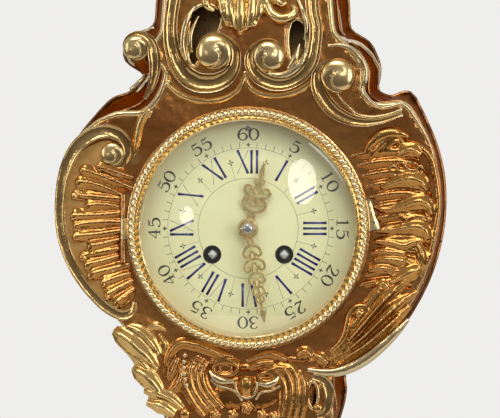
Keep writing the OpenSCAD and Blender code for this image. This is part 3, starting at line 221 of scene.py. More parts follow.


# in each set the deep tone goes to low spots (matte ground and painted shade), the bright tone to sharp
# crests (rubbed gilding and painted highlight), and the dark tone of the specks also to recesses (painted
# shade)
giltTones = {
    # the face gilding is darker and redder than the ornaments: partly its own colour, partly a painted
    # reflection of a dark red room
    "face": {"heights": (0.060, 0.0728), "ridges": 0.4, "recesses": 0.2, "grain": (22.0, 500.0),
             "deep": (0.30, 0.09, 0.02), "dent": 0.0045, "mid": (0.66, 0.32, 0.095),
             "cloud": (0.42, 0.15, 0.04), "clouding": 0.8, "bright": (0.9, 0.6, 0.28),
             "edge": (0.8, 0.55, 0.3), "grimeAndShade": (0.14, 0.045, 0.014), "specks": 0.25,
             "rough": (0.2, 0.28), "bump": 0.14},
    # the side walls: a darker copy of the face gilding, edge tint included, as painted shade, and darker
    # still towards the back of the case
    "wall": {"heights": (0.010, 0.070), "ridges": 0.3, "recesses": 0.3, "grain": (30.0, 500.0),
             "deep": (0.16, 0.07, 0.027), "dent": 0.004, "mid": (0.34, 0.17, 0.065),
             "cloud": (0.24, 0.11, 0.042), "clouding": 0.6, "bright": (0.6, 0.32, 0.12),
             "edge": (0.42, 0.24, 0.14), "grimeAndShade": (0.05, 0.018, 0.008), "specks": 0.3,
             "rough": (0.26, 0.36), "bump": 0.14},
    "bright": {"heights": (0.0695, 0.0765), "ridges": 0.9, "recesses": 0.5, "grain": (80.0, 800.0),
               "deep": (0.44, 0.22, 0.055), "dent": 0.0008, "mid": (0.71, 0.53, 0.25),
               "cloud": (0.56, 0.39, 0.155), "clouding": 0.5, "bright": (0.98, 0.89, 0.64),
               "edge": (1, 1, 1), "grimeAndShade": (0.16, 0.075, 0.025), "specks": 0.25, "rough": (0.14, 0.21),
               "bump": 0.05},
    "relief": {"heights": (0.0702, 0.0758), "ridges": 0.8, "recesses": 0.65, "grain": (120.0, 900.0),
               "deep": (0.40, 0.15, 0.036), "dent": 0.0008, "mid": (0.66, 0.36, 0.095),
               "cloud": (0.47, 0.21, 0.05), "clouding": 0.5, "bright": (0.96, 0.76, 0.42),
               "edge": (1, 0.9, 0.75), "grimeAndShade": (0.16, 0.05, 0.013), "specks": 0.25,
               "rough": (0.15, 0.22), "bump": 0.06},
    "rope": {"heights": (0.0695, 0.0768), "ridges": 0.9, "recesses": 0.6, "grain": (150.0, 1100.0),
             "deep": (0.60, 0.31, 0.08), "dent": 0.0004, "mid": (0.84, 0.60, 0.24),
             "cloud": (0.70, 0.44, 0.15), "clouding": 0.4, "bright": (0.97, 0.82, 0.50),
             "edge": (1, 0.95, 0.85), "grimeAndShade": (0.18, 0.07, 0.02), "specks": 0.25, "rough": (0.16, 0.24),
             "bump": 0.05},
    "hands": {"heights": (0.060, 0.0665), "ridges": 0.6, "recesses": 0.5, "grain": (200.0, 1500.0),
              "deep": (0.78, 0.58, 0.25), "dent": 0.0002, "mid": (0.97, 0.79, 0.41),
              "cloud": (0.86, 0.66, 0.3), "clouding": 0.5, "bright": (1, 0.9, 0.6), "edge": (1, 1, 1),
              "grimeAndShade": (0.26, 0.14, 0.05), "specks": 0.3, "rough": (0.22, 0.32), "bump": 0.05},
    # the scroll eyes: rougher than the bands they sit in, and paler, a painted highlight on the same gilding
    "satinSheen": {"heights": (0.068, 0.0765), "ridges": 0.5, "recesses": 0.2, "grain": (80.0, 800.0),
              "deep": (0.62, 0.42, 0.17), "dent": 0.0006, "mid": (0.82, 0.65, 0.34),
              "cloud": (0.70, 0.51, 0.22), "clouding": 0.5, "bright": (0.98, 0.92, 0.72),
              "edge": (1, 1, 1), "grimeAndShade": (0.2, 0.1, 0.04), "specks": 0.2, "rough": (0.2, 0.27),
              "bump": 0.05},
    "matted": {"heights": (0.070, 0.0735), "ridges": 0.2, "recesses": 0.3, "grain": (160.0, 2400.0),
               "deep": (0.58, 0.29, 0.075), "dent": 0.0006, "mid": (0.74, 0.44, 0.14),
               "cloud": (0.62, 0.32, 0.09), "clouding": 0.5, "bright": (0.9, 0.66, 0.3),
               "edge": (1, 0.9, 0.75), "grimeAndShade": (0.2, 0.08, 0.025), "specks": 0.3, "rough": (0.44, 0.54),
               "bump": 0.3}}
giltFace, giltWall, giltBright, giltRelief, giltRope, giltHands, giltSatinSheen, giltMatted = (
    giltMaterial("gilt" + name.capitalize(), tones) for name, tones in giltTones.items())
clockBrass = plainMetal("clockBrass", {
    "grain": (140.0, 1300.0), "light": (0.82, 0.61, 0.28), "dark": (0.77, 0.555, 0.245),
    "spot": (0.55, 0.37, 0.15), "rough": (0.2, 0.34)})
clockSteel = plainMetal("clockSteel", {
    "grain": (160.0, 1600.0), "light": (0.62, 0.63, 0.64), "dark": (0.50, 0.51, 0.53),
    "spot": (0.28, 0.26, 0.25), "rough": (0.18, 0.3)})
# paler than the movement steel, so that the arbor squares read bright in the dark winding holes: painted
# highlight
squareSteel = plainMetal("squareSteel", {
    "grain": (160.0, 1600.0), "light": (0.88, 0.87, 0.86), "dark": (0.78, 0.77, 0.76),
    "spot": (0.5, 0.48, 0.46), "rough": (0.42, 0.52)})
dialEnamel = paintMaterial("dialEnamel", {
    "grain": (45.0, 700.0), "light": (0.80, 0.80, 0.50), "dark": (0.77, 0.765, 0.455),
    "rough": (0.1, 0.16), "coat": 0.6, "bump": 0.02})
blueEnamel = paintMaterial("blueEnamel", {
    "grain": (300.0, 1500.0), "light": (0.008, 0.010, 0.13), "dark": (0.018, 0.022, 0.2),
    "rough": (0.15, 0.25), "coat": 0.4, "bump": 0.03})
blackEnamel = paintMaterial("blackEnamel", {
    "grain": (300.0, 1500.0), "light": (0.018, 0.02, 0.016), "dark": (0.045, 0.048, 0.038),
    "rough": (0.3, 0.45), "coat": 0.0, "bump": 0.03})
# near-black for the cups behind the winding holes: painted shade
holeShadeBlack = paintMaterial("holeShadeBlack", {
    "grain": (300.0, 1500.0), "light": (0.007, 0.006, 0.005), "dark": (0.014, 0.012, 0.01),
    "rough": (0.4, 0.55), "coat": 0.0, "bump": 0.03})
clockGlass = glassMaterial()
print("materials ready")


# Modelling helpers

def linked(name, data):
    holder = bpy.data.objects.new(name, data)
    bpy.context.scene.collection.objects.link(holder)
    return holder


def discard(holder):
    data = holder.data
    bpy.data.objects.remove(holder)
    (bpy.data.meshes if isinstance(data, bpy.types.Mesh) else bpy.data.curves).remove(data)


def takeMesh(holder):
    # what a holder's curve or modifiers make; the holder itself goes
    bpy.context.view_layer.update()
    mesh = bpy.data.meshes.new_from_object(holder.evaluated_get(bpy.context.evaluated_depsgraph_get()))
    discard(holder)
    return mesh


def pour(bm, mesh):
    bm.from_mesh(mesh)
    bpy.data.meshes.remove(mesh)


def meshFrom(name, bm):
    mesh = bpy.data.meshes.new(name)
    bm.to_mesh(mesh)
    bm.clear()
    return mesh


def addSection(name, points, mirrored):
    # outlines are drawn from the right skirt up to the middle; 1 is half a band's width
    shape = bpy.data.curves.new(name, 'CURVE')
    shape.dimensions = '2D'
    line = shape.splines.new('POLY')
    outline = [(-x, y) for x, y in points if x] + points[::-1] if mirrored else points
    line.points.add(len(outline) - 1)
    for point, (x, y) in zip(line.points, outline):
        point.co = (x, y, 0, 1)
    line.use_cyclic_u = True
    return linked(name, shape)


# the flute leans, so its outline is drawn whole
outlineOf = {
    "dish": [(1, -2.6), (1, 0), (0.992, 0.14), (0.965, 0.2), (0.93, 0.18), (0.87, 0.09), (0.7, -0.03),
             (0.4, -0.11), (0, -0.14)],
    "hollow": [(1, -2.6), (1, 0.1), (0.99, 0.3), (0.955, 0.38), (0.9, 0.36), (0.82, 0.2), (0.66, 0.0),
               (0.36, -0.16), (0, -0.22)],
    "rib": [(1, -2), (0.94, -0.1), (0.72, 0.42), (0.4, 0.68), (0, 0.76)],
    "flute": [(-1, -2.4), (-1, -0.25), (-0.72, -0.1), (-0.42, 0.22), (-0.2, 0.6), (-0.04, 0.8),
              (0.1, 0.8), (0.3, 0.62), (0.6, 0.28), (0.85, -0.05), (1, -0.25), (1, -2.4)],
    "swell": [(1.5, -2), (1.5, -0.06), (1.2, 0), (0.92, 0.12), (0.68, 0.32), (0.45, 0.54), (0.22, 0.71),
              (0, 0.76)],
    "leaf": [(1, -2.2), (0.98, 0.08), (0.88, 0.34), (0.72, 0.36), (0.6, 0.2), (0.48, 0.42), (0.36, 0.5),
             (0.24, 0.3), (0.12, 0.42), (0, 0.62)]}
sections = {name: addSection(name + "Section", points, name != "flute") for name, points in outlineOf.items()}


def addSpline(shape, points, closed, smooth):
    spline = shape.splines.new('BEZIER')
    spline.bezier_points.add(len(points) - 1)
    spline.use_cyclic_u = closed
    for point, (place, half) in zip(spline.bezier_points, points):
        point.co = place
        point.radius = half
        point.handle_left_type = point.handle_right_type = 'AUTO' if smooth else 'VECTOR'


def sweep(bm, lines, section=None, closed=False, steps=6, smooth=True, sides=2):
    # lines of (x, y, z, half width), as one swept solid for each line
    shape = bpy.data.curves.new("line", 'CURVE')
    shape.dimensions = '3D'
    shape.twist_mode = 'Z_UP'
    shape.resolution_u = steps
    shape.use_fill_caps = True
    if section:
        shape.bevel_mode = 'OBJECT'
        shape.bevel_object = sections[section]
    else:
        shape.bevel_depth = 1
        shape.bevel_resolution = sides
    for line in lines:
        addSpline(shape, [((x, y, z), half) for x, y, z, half in line], closed, smooth)
    pour(bm, takeMesh(linked("line", shape)))


def addPlate(bm, points, low, high):
    # a flat ground with a smooth outline
    shape = bpy.data.curves.new("plate", 'CURVE')
    shape.dimensions = '2D'
    shape.fill_mode = 'BOTH'
    shape.extrude = (high - low) / 2
    shape.resolution_u = 6
    addSpline(shape, [((x, y, 0), 1) for x, y in points], True, True)
    mesh = takeMesh(linked("plate", shape))
    mesh.transform(Matrix.Translation((0, 0, (low + high) / 2)))
    pour(bm, mesh)


def addBall(bm, x, y, z, r, flat=0.85, parts=28):
    place = Matrix.Translation((x, y, z)) @ Matrix.Diagonal((1, 1, flat, 1))
    ball = bmesh.ops.create_uvsphere(bm, u_segments=parts, v_segments=parts // 2, radius=r, matrix=place)
    return ball['verts']


def spun(bm, profile, closed, steps):
    # a profile of (radius, z) turned about the dial's axis
    verts = [bm.verts.new((r, 0, z)) for r, z in profile]
    edges = [bm.edges.new(pair) for pair in zip(verts, verts[1:])]
    if closed:
        edges.append(bm.edges.new((verts[-1], verts[0])))
    bmesh.ops.spin(bm, geom=verts + edges, cent=(0, 0, 0), axis=(0, 0, 1), angle=2 * pi, steps=steps,
                   use_merge=True)
    bmesh.ops.remove_doubles(bm, verts=bm.verts, dist=0.001)


def castTogether(bm, voxel, rounds):
    # one casting out of overlapping sweeps
    holder = linked("cast", meshFrom("cast", bm))
    remesh = holder.modifiers.new("cast", 'REMESH')
    remesh.mode = 'VOXEL'
    remesh.voxel_size = voxel
    ease = holder.modifiers.new("ease", 'SMOOTH')
    ease.factor = 0.5
    ease.iterations = rounds
    pour(bm, takeMesh(holder))


def finishPiece(name, bm, material, body, nodes=(), sharp=None, clean=True):
    if clean:
        bmesh.ops.remove_doubles(bm, verts=bm.verts, dist=0.004)
        bmesh.ops.recalc_face_normals(bm, faces=bm.faces)
    bm.transform(toWall)
    mesh = meshFrom(name, bm)
    mesh.polygons.foreach_set("use_smooth", [True] * len(mesh.polygons))
    if sharp:
        mesh.set_sharp_from_angle(angle=radians(sharp))
    piece = linked(name, mesh)
    mesh.materials.clear()
    mesh.materials.append(material)
    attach(piece, body)
    if nodes:
        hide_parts(*nodes)
    print("piece", name, len(mesh.polygons), "faces")


def finishOrnament(name, bm, material, nodes=(), sharp=None, cast=None):
    # cut level inside the face, and made one casting where a voxel size and smoothing rounds are given
    for vert in bm.verts:
        vert.co.z = max(vert.co.z, castFloor)
    if cast:
        castTogether(bm, *cast)
    finishPiece(name, bm, material, "case", nodes, sharp)


def copyOf(node):
    bm = bmesh.new()
    bm.from_mesh(frame["nodes"][node].data)
    bm.transform(toWall.inverted())
    bmesh.ops.remove_doubles(bm, verts=bm.verts, dist=0.002)
    return bm


def wholeOf(bm):
    return bm.verts[:] + bm.edges[:] + bm.faces[:]


def loopsAt(bm, depth, least, step):
    # outlines that a plane parallel to the wall cuts from a piece, with points a step apart, longest first
    cut = bm.copy()
    bmesh.ops.bisect_plane(cut, geom=wholeOf(cut), dist=0.0001, plane_co=(0, 0, depth), plane_no=(0, 0, 1),
                           clear_inner=True, clear_outer=True)
    bmesh.ops.remove_doubles(cut, verts=cut.verts, dist=0.002)
    lowest = lambda vert: tuple(vert.co)  # each loop starts at the same point on every run
    left = set(cut.verts)
    loops = []
    for vert in sorted(cut.verts, key=lowest):
        if vert not in left:
            continue
        left.discard(vert)
        ring = [vert.co.copy()]
        while True:
            onward = [e.other_vert(vert) for e in vert.link_edges if e.other_vert(vert) in left]
            if not onward:
                break
            vert = min(onward, key=lowest)
            left.discard(vert)
            ring.append(vert.co.copy())
        spaced = [ring[0]]
        for co in ring[1:]:
            if (co - spaced[-1]).length >= step:
                spaced.append(co)
        if (spaced[-1] - spaced[0]).length < step / 2:
            spaced.pop()
        length = sum((a - b).length for a, b in zip(spaced, spaced[1:] + spaced[:1]))
        if length >= least:
            loops.append((length, spaced))
    cut.free()
    return [ring for length, ring in sorted(loops, key=lambda pair: -pair[0])]


# Case: sides with bead lines, the swelling face, and the bright arris round the front

caseLook = {
    "beadDepths": [(2.6, 1.0), (30, 0.8), (61.5, 0.8)], "arris": 1.6, "innerBead": 1.1, "cove": 2.0,
    "coveWidth": 22, "mesh": 2.5, "plain": 0.6,
    "fillets": [[(-41, 73, 1.2, 0), (-33, 66.6, 2.7, -1), (-25, 64.2, 3.2, -1.3), (-16, 64, 3.2, -1.3),
                 (-8, 67, 3, -1.2), (-3.2, 72.4, 2.4, -0.8), (-1.4, 79, 1.4, -0.2)],
                [(-1.4, 79, 1.4, -0.2), (0.4, 71.8, 2.4, -0.8), (5, 68, 3, -1.2), (12, 66.4, 3.2, -1.3),
                 (20, 67.2, 3.2, -1.3), (28, 70.6, 2.7, -1), (33.6, 76.6, 1.2, 0)]],
    "flare": [(-49, 60, 1.4, 0.2), (-53.4, 54.4, 2.6, -0.4), (-55.2, 47.6, 2.8, -0.6),
              (-56.2, 41.6, 2.2, -0.4), (-56.8, 36.4, 1, -0.2)],
    "flatR": 58, "strong": (44, 14), "sink": 0.66}

shell = copyOf("case_sides")
wallTree = BVHTree.FromBMesh(shell)
beads = [(loopsAt(shell, depth, 300, 2.2)[0], depth, half) for depth, half in caseLook["beadDepths"]]
for ring, depth, half in beads:
    sweep(shell, [[(co.x, co.y, depth, half) for co in ring]], closed=True, steps=2)
finishPiece("caseShell", shell, giltWall, "case", ["case_sides"], sharp=40, clean=False)

plate = copyOf("case_front")
faceLoops = []
for ring in loopsAt(plate, faceDepth - 1, 30, 2.0):
    reaches = [hypot(co.x, co.y) for co in ring]
    if max(reaches) - min(reaches) > 1:  # the round dial opening has no arris
        faceLoops.append(ring)
edges = [co for ring in faceLoops for co in ring]
edgeTree = KDTree(len(edges))
for count, co in enumerate(edges):
    edgeTree.insert((co.x, co.y, 0), count)
edgeTree.balance()


def seatAt(x, y):
    # the face swells up towards its edges
    away = edgeTree.find((x, y, 0))[2]
    return faceDepth + caseLook["cove"] * max(0, 1 - away / caseLook["coveWidth"]) ** 2


def carve(bm, lines, section, **how):
    # lines of (x, y, half width, lift), set on the case's face
    seated = [[(x, y, seatAt(x, y) + lift, half) for x, y, half, lift in line] for line in lines]
    sweep(bm, seated, section, **how)


for axis in (0, 1):
    across = [float(k == axis) for k in range(3)]
    spot = min(vert.co[axis] for vert in plate.verts) + caseLook["mesh"]
    far = max(vert.co[axis] for vert in plate.verts)
    while spot < far:
        bmesh.ops.bisect_plane(plate, geom=wholeOf(plate), dist=0.001, plane_co=[k * spot for k in across],
                               plane_no=across)
        spot += caseLook["mesh"]
bmesh.ops.triangulate(plate, faces=plate.faces)
for vert in plate.verts:
    if vert.co.z > faceDepth - 0.01 and hypot(vert.co.x, vert.co.y) > caseLook["flatR"]:
        vert.co.z = seatAt(vert.co.x, vert.co.y)
finishPiece("caseFace", plate, giltFace, "case", ["case_front"], sharp=35)

arris = bmesh.new()
plain = caseLook["plain"]
strongFrom, strongOver = caseLook["strong"]
for count, ring in enumerate(faceLoops):
    # strong round the crest and shoulders, a thin edge lower down
    full = caseLook["innerBead"] if count else caseLook["arris"]
    line = []
    for co in ring:
        strong = 1 if count else min(1, max(0, (co.y - strongFrom) / strongOver))
        half = plain + full * strong - plain * strong
        line.append((co.x, co.y, faceDepth + caseLook["cove"] - half * caseLook["sink"], half))
    sweep(arris, [line], closed=True, steps=2)
carve(arris, caseLook["fillets"] + [caseLook["flare"]], "swell")
finishOrnament("caseArris", arris, giltRope)
print("case done")


# Rolled ends of all the scrolls, gathered in one piece

eyeLook = {"spread": 1.14, "flat": 0.44, "parts": 96, "rise": 1.1, "lead": 1.5, "wind": 3, "depth": 0.32,
           "middle": 0.1, "fade": 0.3, "edge": 5}
eyes = bmesh.new()


def eyeOf(x, y, r, start, way):
    # a dome with a groove that winds in to its middle
    base = seatAt(x, y) + eyeLook["rise"]
    wide = r * eyeLook["spread"]
    for vert in addBall(eyes, x, y, base, wide, eyeLook["flat"], eyeLook["parts"]):
        across, up = vert.co.x - x, vert.co.y - y
        reach = hypot(across, up) / wide
        turn = start + way * (eyeLook["lead"] - eyeLook["wind"] * reach)
        past = (atan2(up, across) - turn) * way % (2 * pi) / (2 * pi)
        if vert.co.z > base:
            inward = min(1, max(0, (reach - eyeLook["middle"]) / eyeLook["fade"]))
            vert.co.z -= r * eyeLook["depth"] * inward * (1 - past) ** eyeLook["edge"]


# Left ear: a hollow band that curls round a fan of flutes

leftEar = {
    "band": [(-68.5, 31.4, 0.6, 1), (-64, 31.2, 1.2, 1.2), (-60.9, 34.5, 1.8, 1.4),
             (-60.2, 39.5, 2.3, 1.7), (-62.2, 44.6, 2.9, 2.2), (-67, 47.9, 3.3, 2.8),
             (-73, 48.4, 3.5, 3.4), (-80, 45.6, 3.5, 3.9), (-86, 39.8, 3.4, 4), (-90, 32.3, 3.1, 3.8),
             (-92.6, 24, 2.7, 3.5), (-93.9, 14, 2.5, 3.2), (-94, 4, 2.4, 3), (-92.5, -6, 2.3, 3),
             (-89, -16, 2.3, 3), (-83.5, -25.5, 2.4, 3), (-76.5, -34, 2.5, 3), (-69, -40.5, 2.6, 2.8),
             (-62, -43.2, 2.6, 2.4), (-57.6, -41.2, 2, 1.8), (-56.6, -37, 1.1, 1)],
    "eye": (-68.1, 37.3, 5.4, -0.9, 1),
    "ground": [(-67, 42), (-78, 41.6), (-86, 34), (-90.6, 22), (-91.6, 5), (-88.4, -11), (-81.6, -24),
               (-73, -34.6), (-64.6, -39.6), (-64.8, -35.6), (-72, -28.6), (-77, -20), (-80.6, -8),
               (-81.6, 5), (-81, 18), (-77, 30), (-72, 35)],
    "flutes": [[(-75.2, 31.4), (-69, 29), (-60.3, 26.2)], [(-83.4, 29.9), (-74.5, 26.8), (-61, 21.4)],
               [(-85.6, 23.2), (-77.3, 22.4), (-66.6, 18.4)], [(-87.6, 17.2), (-79, 16.2), (-66.6, 15)],
               [(-81, 11.2), (-75, 12), (-66.6, 11.2)], [(-88, 6.9), (-80, 6.6), (-66.6, 7.4)],
               [(-86.8, 1.5), (-79, 2.8), (-66.6, 3.2)], [(-87, -3.4), (-79, -3.2), (-66.6, -1.6)],
               [(-79.6, -9), (-74, -7.8), (-66.6, -6)], [(-83.4, -13.6), (-75, -12), (-66.6, -10.4)],
               [(-81.2, -18), (-74, -16.4), (-66.6, -14.4)], [(-79.6, -23), (-72, -21), (-62, -18.6)],
               [(-73, -27), (-68, -25.2), (-61, -23)], [(-71, -33.2), (-66, -30.4), (-59.6, -27)],
               [(-66.4, -37.4), (-63, -34.6), (-58.4, -31)]],
    "quills": [(-1.9, 0.7, 0.5, 1), (2.0, 0.6, 0.4, 2)]}
fluteLook = {"places": (-0.06, 0.02, 0.12, 0.3, 0.55, 0.82, 1.15),
             "lifts": (1.7, 2.3, 2.1, 1.6, 1.0, 0.3, -0.8), "swell": 1.9, "groundTop": 2.1}

band = bmesh.new()
carve(band, [leftEar["band"]], "dish")
eyeOf(*leftEar["eye"])
finishOrnament("leftEarBand", band, giltBright, ["left_rocaille"], sharp=50)


def fluteLine(points, halves):
    # a flute through three points, tip first, with its width and height at seven places
    (ax, ay), (bx, by), (cx, cy) = points
    line = []
    for t, half, lift in zip(fluteLook["places"], halves, fluteLook["lifts"]):
        u = 1 - t
        line.append((u * u * ax + 2 * u * t * (2 * bx - (ax + cx) / 2) + t * t * cx,
                     u * u * ay + 2 * u * t * (2 * by - (ay + cy) / 2) + t * t * cy, half, lift))
    return line


flutes = bmesh.new()
fluteLines, quills = [], []
for count, points in enumerate(leftEar["flutes"]):
    swell = fluteLook["swell"] + 0.3 * (count % 3)
    line = fluteLine(points, (0.9, 1.6, swell, swell + 0.3, swell + 0.5, 2.7, 2.4))
    fluteLines.append(line)
    # finer folds on the flanks, and curled nubs by the tip
    for shift, half, rise, first in leftEar["quills"]:
        quills.append([(x, y + shift, half, lift + rise) for x, y, wide, lift in line[first:6]])
    tipX, tipY = points[0]
    addBall(flutes, tipX + 0.8, tipY - 1.2, seatAt(tipX, tipY) + 2.2, 1.5 + 0.3 * (count % 2), 0.9, 14)
carve(flutes, fluteLines + quills, "swell")
finishOrnament("leftEarFlutes", flutes, giltRelief, cast=(fineVoxel, 10))
ground = bmesh.new()
addPlate(ground, leftEar["ground"], groundFloor, faceDepth + fluteLook["groundTop"])
finishOrnament("leftEarGround", ground, giltMatted, sharp=40)
print("left ear done")


# Crest: two C-scrolls, the plume between them and the fan shell on top

crest = {
    "left": [(-25.4, 88, 0.5, 1.4), (-23, 94.2, 0.7, 1.6), (-17.2, 97, 1, 1.8), (-11, 95, 1.6, 2),
             (-7, 90.3, 2.4, 2.2), (-6.3, 84.4, 3, 2.4), (-8.2, 78.4, 3.7, 2.6), (-13.4, 74, 4.5, 2.7),
             (-20.6, 72.5, 5, 2.8), (-28, 74.3, 5.2, 2.8), (-34.2, 80.6, 4.8, 2.8),
             (-37.4, 88.7, 4, 2.8), (-38.6, 97.5, 3.6, 2.8), (-38.3, 105, 3.5, 2.8),
             (-37, 114, 3.6, 2.8), (-34.4, 128, 3.8, 2.8), (-30, 142, 4, 2.8), (-21, 150, 4, 2.6),
             (-11, 149, 3, 2)],
    "right": [(17.9, 85.8, 0.5, 1.4), (16, 91.4, 0.7, 1.6), (10.6, 93.9, 0.9, 1.8), (4.8, 92, 1.4, 2),
              (1.4, 87.4, 2.2, 2.2), (1.4, 81.8, 3, 2.4), (4.5, 76.5, 3.6, 2.6), (9.8, 73.3, 3.7, 2.7),
              (15.2, 72.1, 3.6, 2.8), (22, 73.6, 3.6, 2.8), (28, 77.8, 3.6, 2.8), (31.8, 83.8, 3.5, 2.8),
              (33.4, 91.5, 3.3, 2.8), (34, 100, 3.3, 2.8), (32.6, 107.4, 3.4, 2.8), (32, 116, 3.6, 2.8),
              (33, 128, 4, 2.8), (29, 142, 4, 2.8), (21, 150, 4, 2.6), (11, 149, 3, 2)],
    "strands": [[(10.6, 77.2, 1.3, 2), (14.6, 76.4, 2, 2.2), (19.6, 77, 2.3, 2.4),
                 (24.6, 80.4, 2.3, 2.4), (28.4, 86, 1.6, 2.2), (29.6, 91, 0.7, 1.8)],
                [(20.4, 79.6, 1.4, 2.4), (23.4, 84.6, 1.9, 3), (25.8, 92, 0.5, 3.2)],
                [(-30.6, 84, 0.8, 2), (-32.4, 90, 1.5, 2.4), (-32.2, 98, 1.8, 2.6), (-30, 105, 1.6, 2.6),
                 (-26.6, 110.6, 0.6, 2.2)],
                [(-28, 88, 0.6, 1.8), (-28.6, 94, 1.1, 2.2), (-27, 101, 0.9, 2.2), (-24.6, 106, 0.4, 2)],
                [(28.4, 94, 0.8, 2), (29.2, 101, 1.4, 2.6), (27.6, 108, 1.6, 2.8), (25.2, 114, 1, 2.4)]],
    "eyes": [(-17.0, 88.2, 8.1, -0.9, 1), (10.4, 86, 7.2, 4.0, -1), (-10, 145.5, 4.4, 2.6, -1),
             (10, 145.5, 4.4, 0.5, 1)]}

scrolls = bmesh.new()
carve(scrolls, [crest["left"], crest["right"]], "hollow", steps=8)
carve(scrolls, crest["strands"], "rib")
for eye in crest["eyes"]:
    eyeOf(*eye)
finishOrnament("crestScrolls", scrolls, giltBright, ["crest_scrolls"], sharp=50)

plume = {
    "bell": [(-16.5, 131), (-15.4, 118), (-13.6, 107), (-9.5, 101.5), (-3.6, 98.4), (2.6, 101),
             (7, 106.5), (9.6, 117), (10.6, 131)],
    "fronds": [[(-13.5, 132, 1.6, 1.6), (-14, 118, 2.4, 3.6), (-12, 108, 2.6, 4.6),
                (-10.6, 102.6, 1.6, 4.2)],
               [(-9, 132, 1.8, 1.8), (-9.6, 118, 2.8, 4.4), (-8.6, 107, 3, 5.4), (-7.4, 100.4, 1.8, 5)],
               [(-3.6, 132, 1.8, 2), (-3.6, 118, 2.9, 4.8), (-3.6, 106, 3.2, 5.8),
                (-3.6, 97.6, 1.7, 5.4)],
               [(2, 132, 1.8, 1.8), (2.4, 118, 2.8, 4.4), (1.8, 107, 3, 5.4), (0.6, 100.4, 1.8, 5)],
               [(7, 132, 1.6, 1.6), (7.4, 118, 2.4, 3.6), (5.6, 108, 2.6, 4.6), (4, 102.8, 1.6, 4.2)]],
    "curls": [[(5, 130, 1.6, 1.4), (8, 121, 2.4, 3), (9.6, 112, 2.8, 4.4), (13.6, 105.8, 3.2, 5.4),
               (19.6, 105, 2.9, 5.4), (23.4, 108.4, 2, 4.8), (22, 111.6, 1.2, 4)],
              [(10, 126, 1.2, 1.6), (12.6, 117.6, 2, 3.4), (16.6, 112, 2, 4.2), (19.6, 112.6, 1.1, 3.8)],
              [(-12, 130, 1.6, 1.4), (-17, 124, 2.2, 3), (-20, 117.6, 2.5, 4), (-20.6, 111.6, 2.4, 4.6),
               (-16.6, 108.4, 1.2, 4)],
              [(-10, 134, 1.4, 1.2), (-18, 134.4, 2.2, 2.8), (-24, 130, 2, 3.6), (-24, 124.6, 1.1, 3.2)],
              [(6, 134, 1.4, 1.2), (16, 134.4, 2.2, 2.8), (22, 130, 2, 3.6), (22, 124.6, 1.1, 3.2)]],
    "knobs": [(-10, 102, 1.7), (-6, 100.4, 1.5), (-1.2, 100, 1.6), (3.4, 102, 1.7), (-3.6, 97.8, 1.8)],
    "shell": {"root": (0, 154), "reach": 27.5, "spread": 132, "lobes": 9},
    "collar": [(-16, 126), (-14, 138), (0, 143), (12, 138), (14, 126), (0, 118)],
    "lobe": [(0, 1, 1), (0.35, 2.0, 2), (0.7, 3.2, 3), (0.9, 3.6, 3.2), (1, 2.2, 2)]}

leaf = bmesh.new()
carve(leaf, plume["fronds"] + plume["curls"], "rib")
addPlate(leaf, plume["bell"], groundFloor, faceDepth + 3.4)
addPlate(leaf, plume["collar"], groundFloor, faceDepth + 1.4)
for x, y, r in plume["knobs"]:
    addBall(leaf, x, y, faceDepth + 4.6, r, 0.9, 12)
fan = plume["shell"]
rootX, rootY = fan["root"]
lobes = []
for count in range(fan["lobes"]):
    turn = radians((count / (fan["lobes"] - 1) - 0.5) * fan["spread"])
    reach = fan["reach"] * (1 - 0.2 * abs(turn))
    lobes.append([(rootX + sin(turn) * reach * t, rootY + cos(turn) * reach * t, half, lift)
                  for t, half, lift in plume["lobe"]])
carve(leaf, lobes, "flute")
addBall(leaf, rootX, rootY - 1, faceDepth + 2, 5, 0.8)
finishOrnament("crestPlume", leaf, giltRope, ["crest_shell"], cast=(broadVoxel, 6))
print("crest done")


# Shoulder volutes, and the scrolls that lie back on the side walls

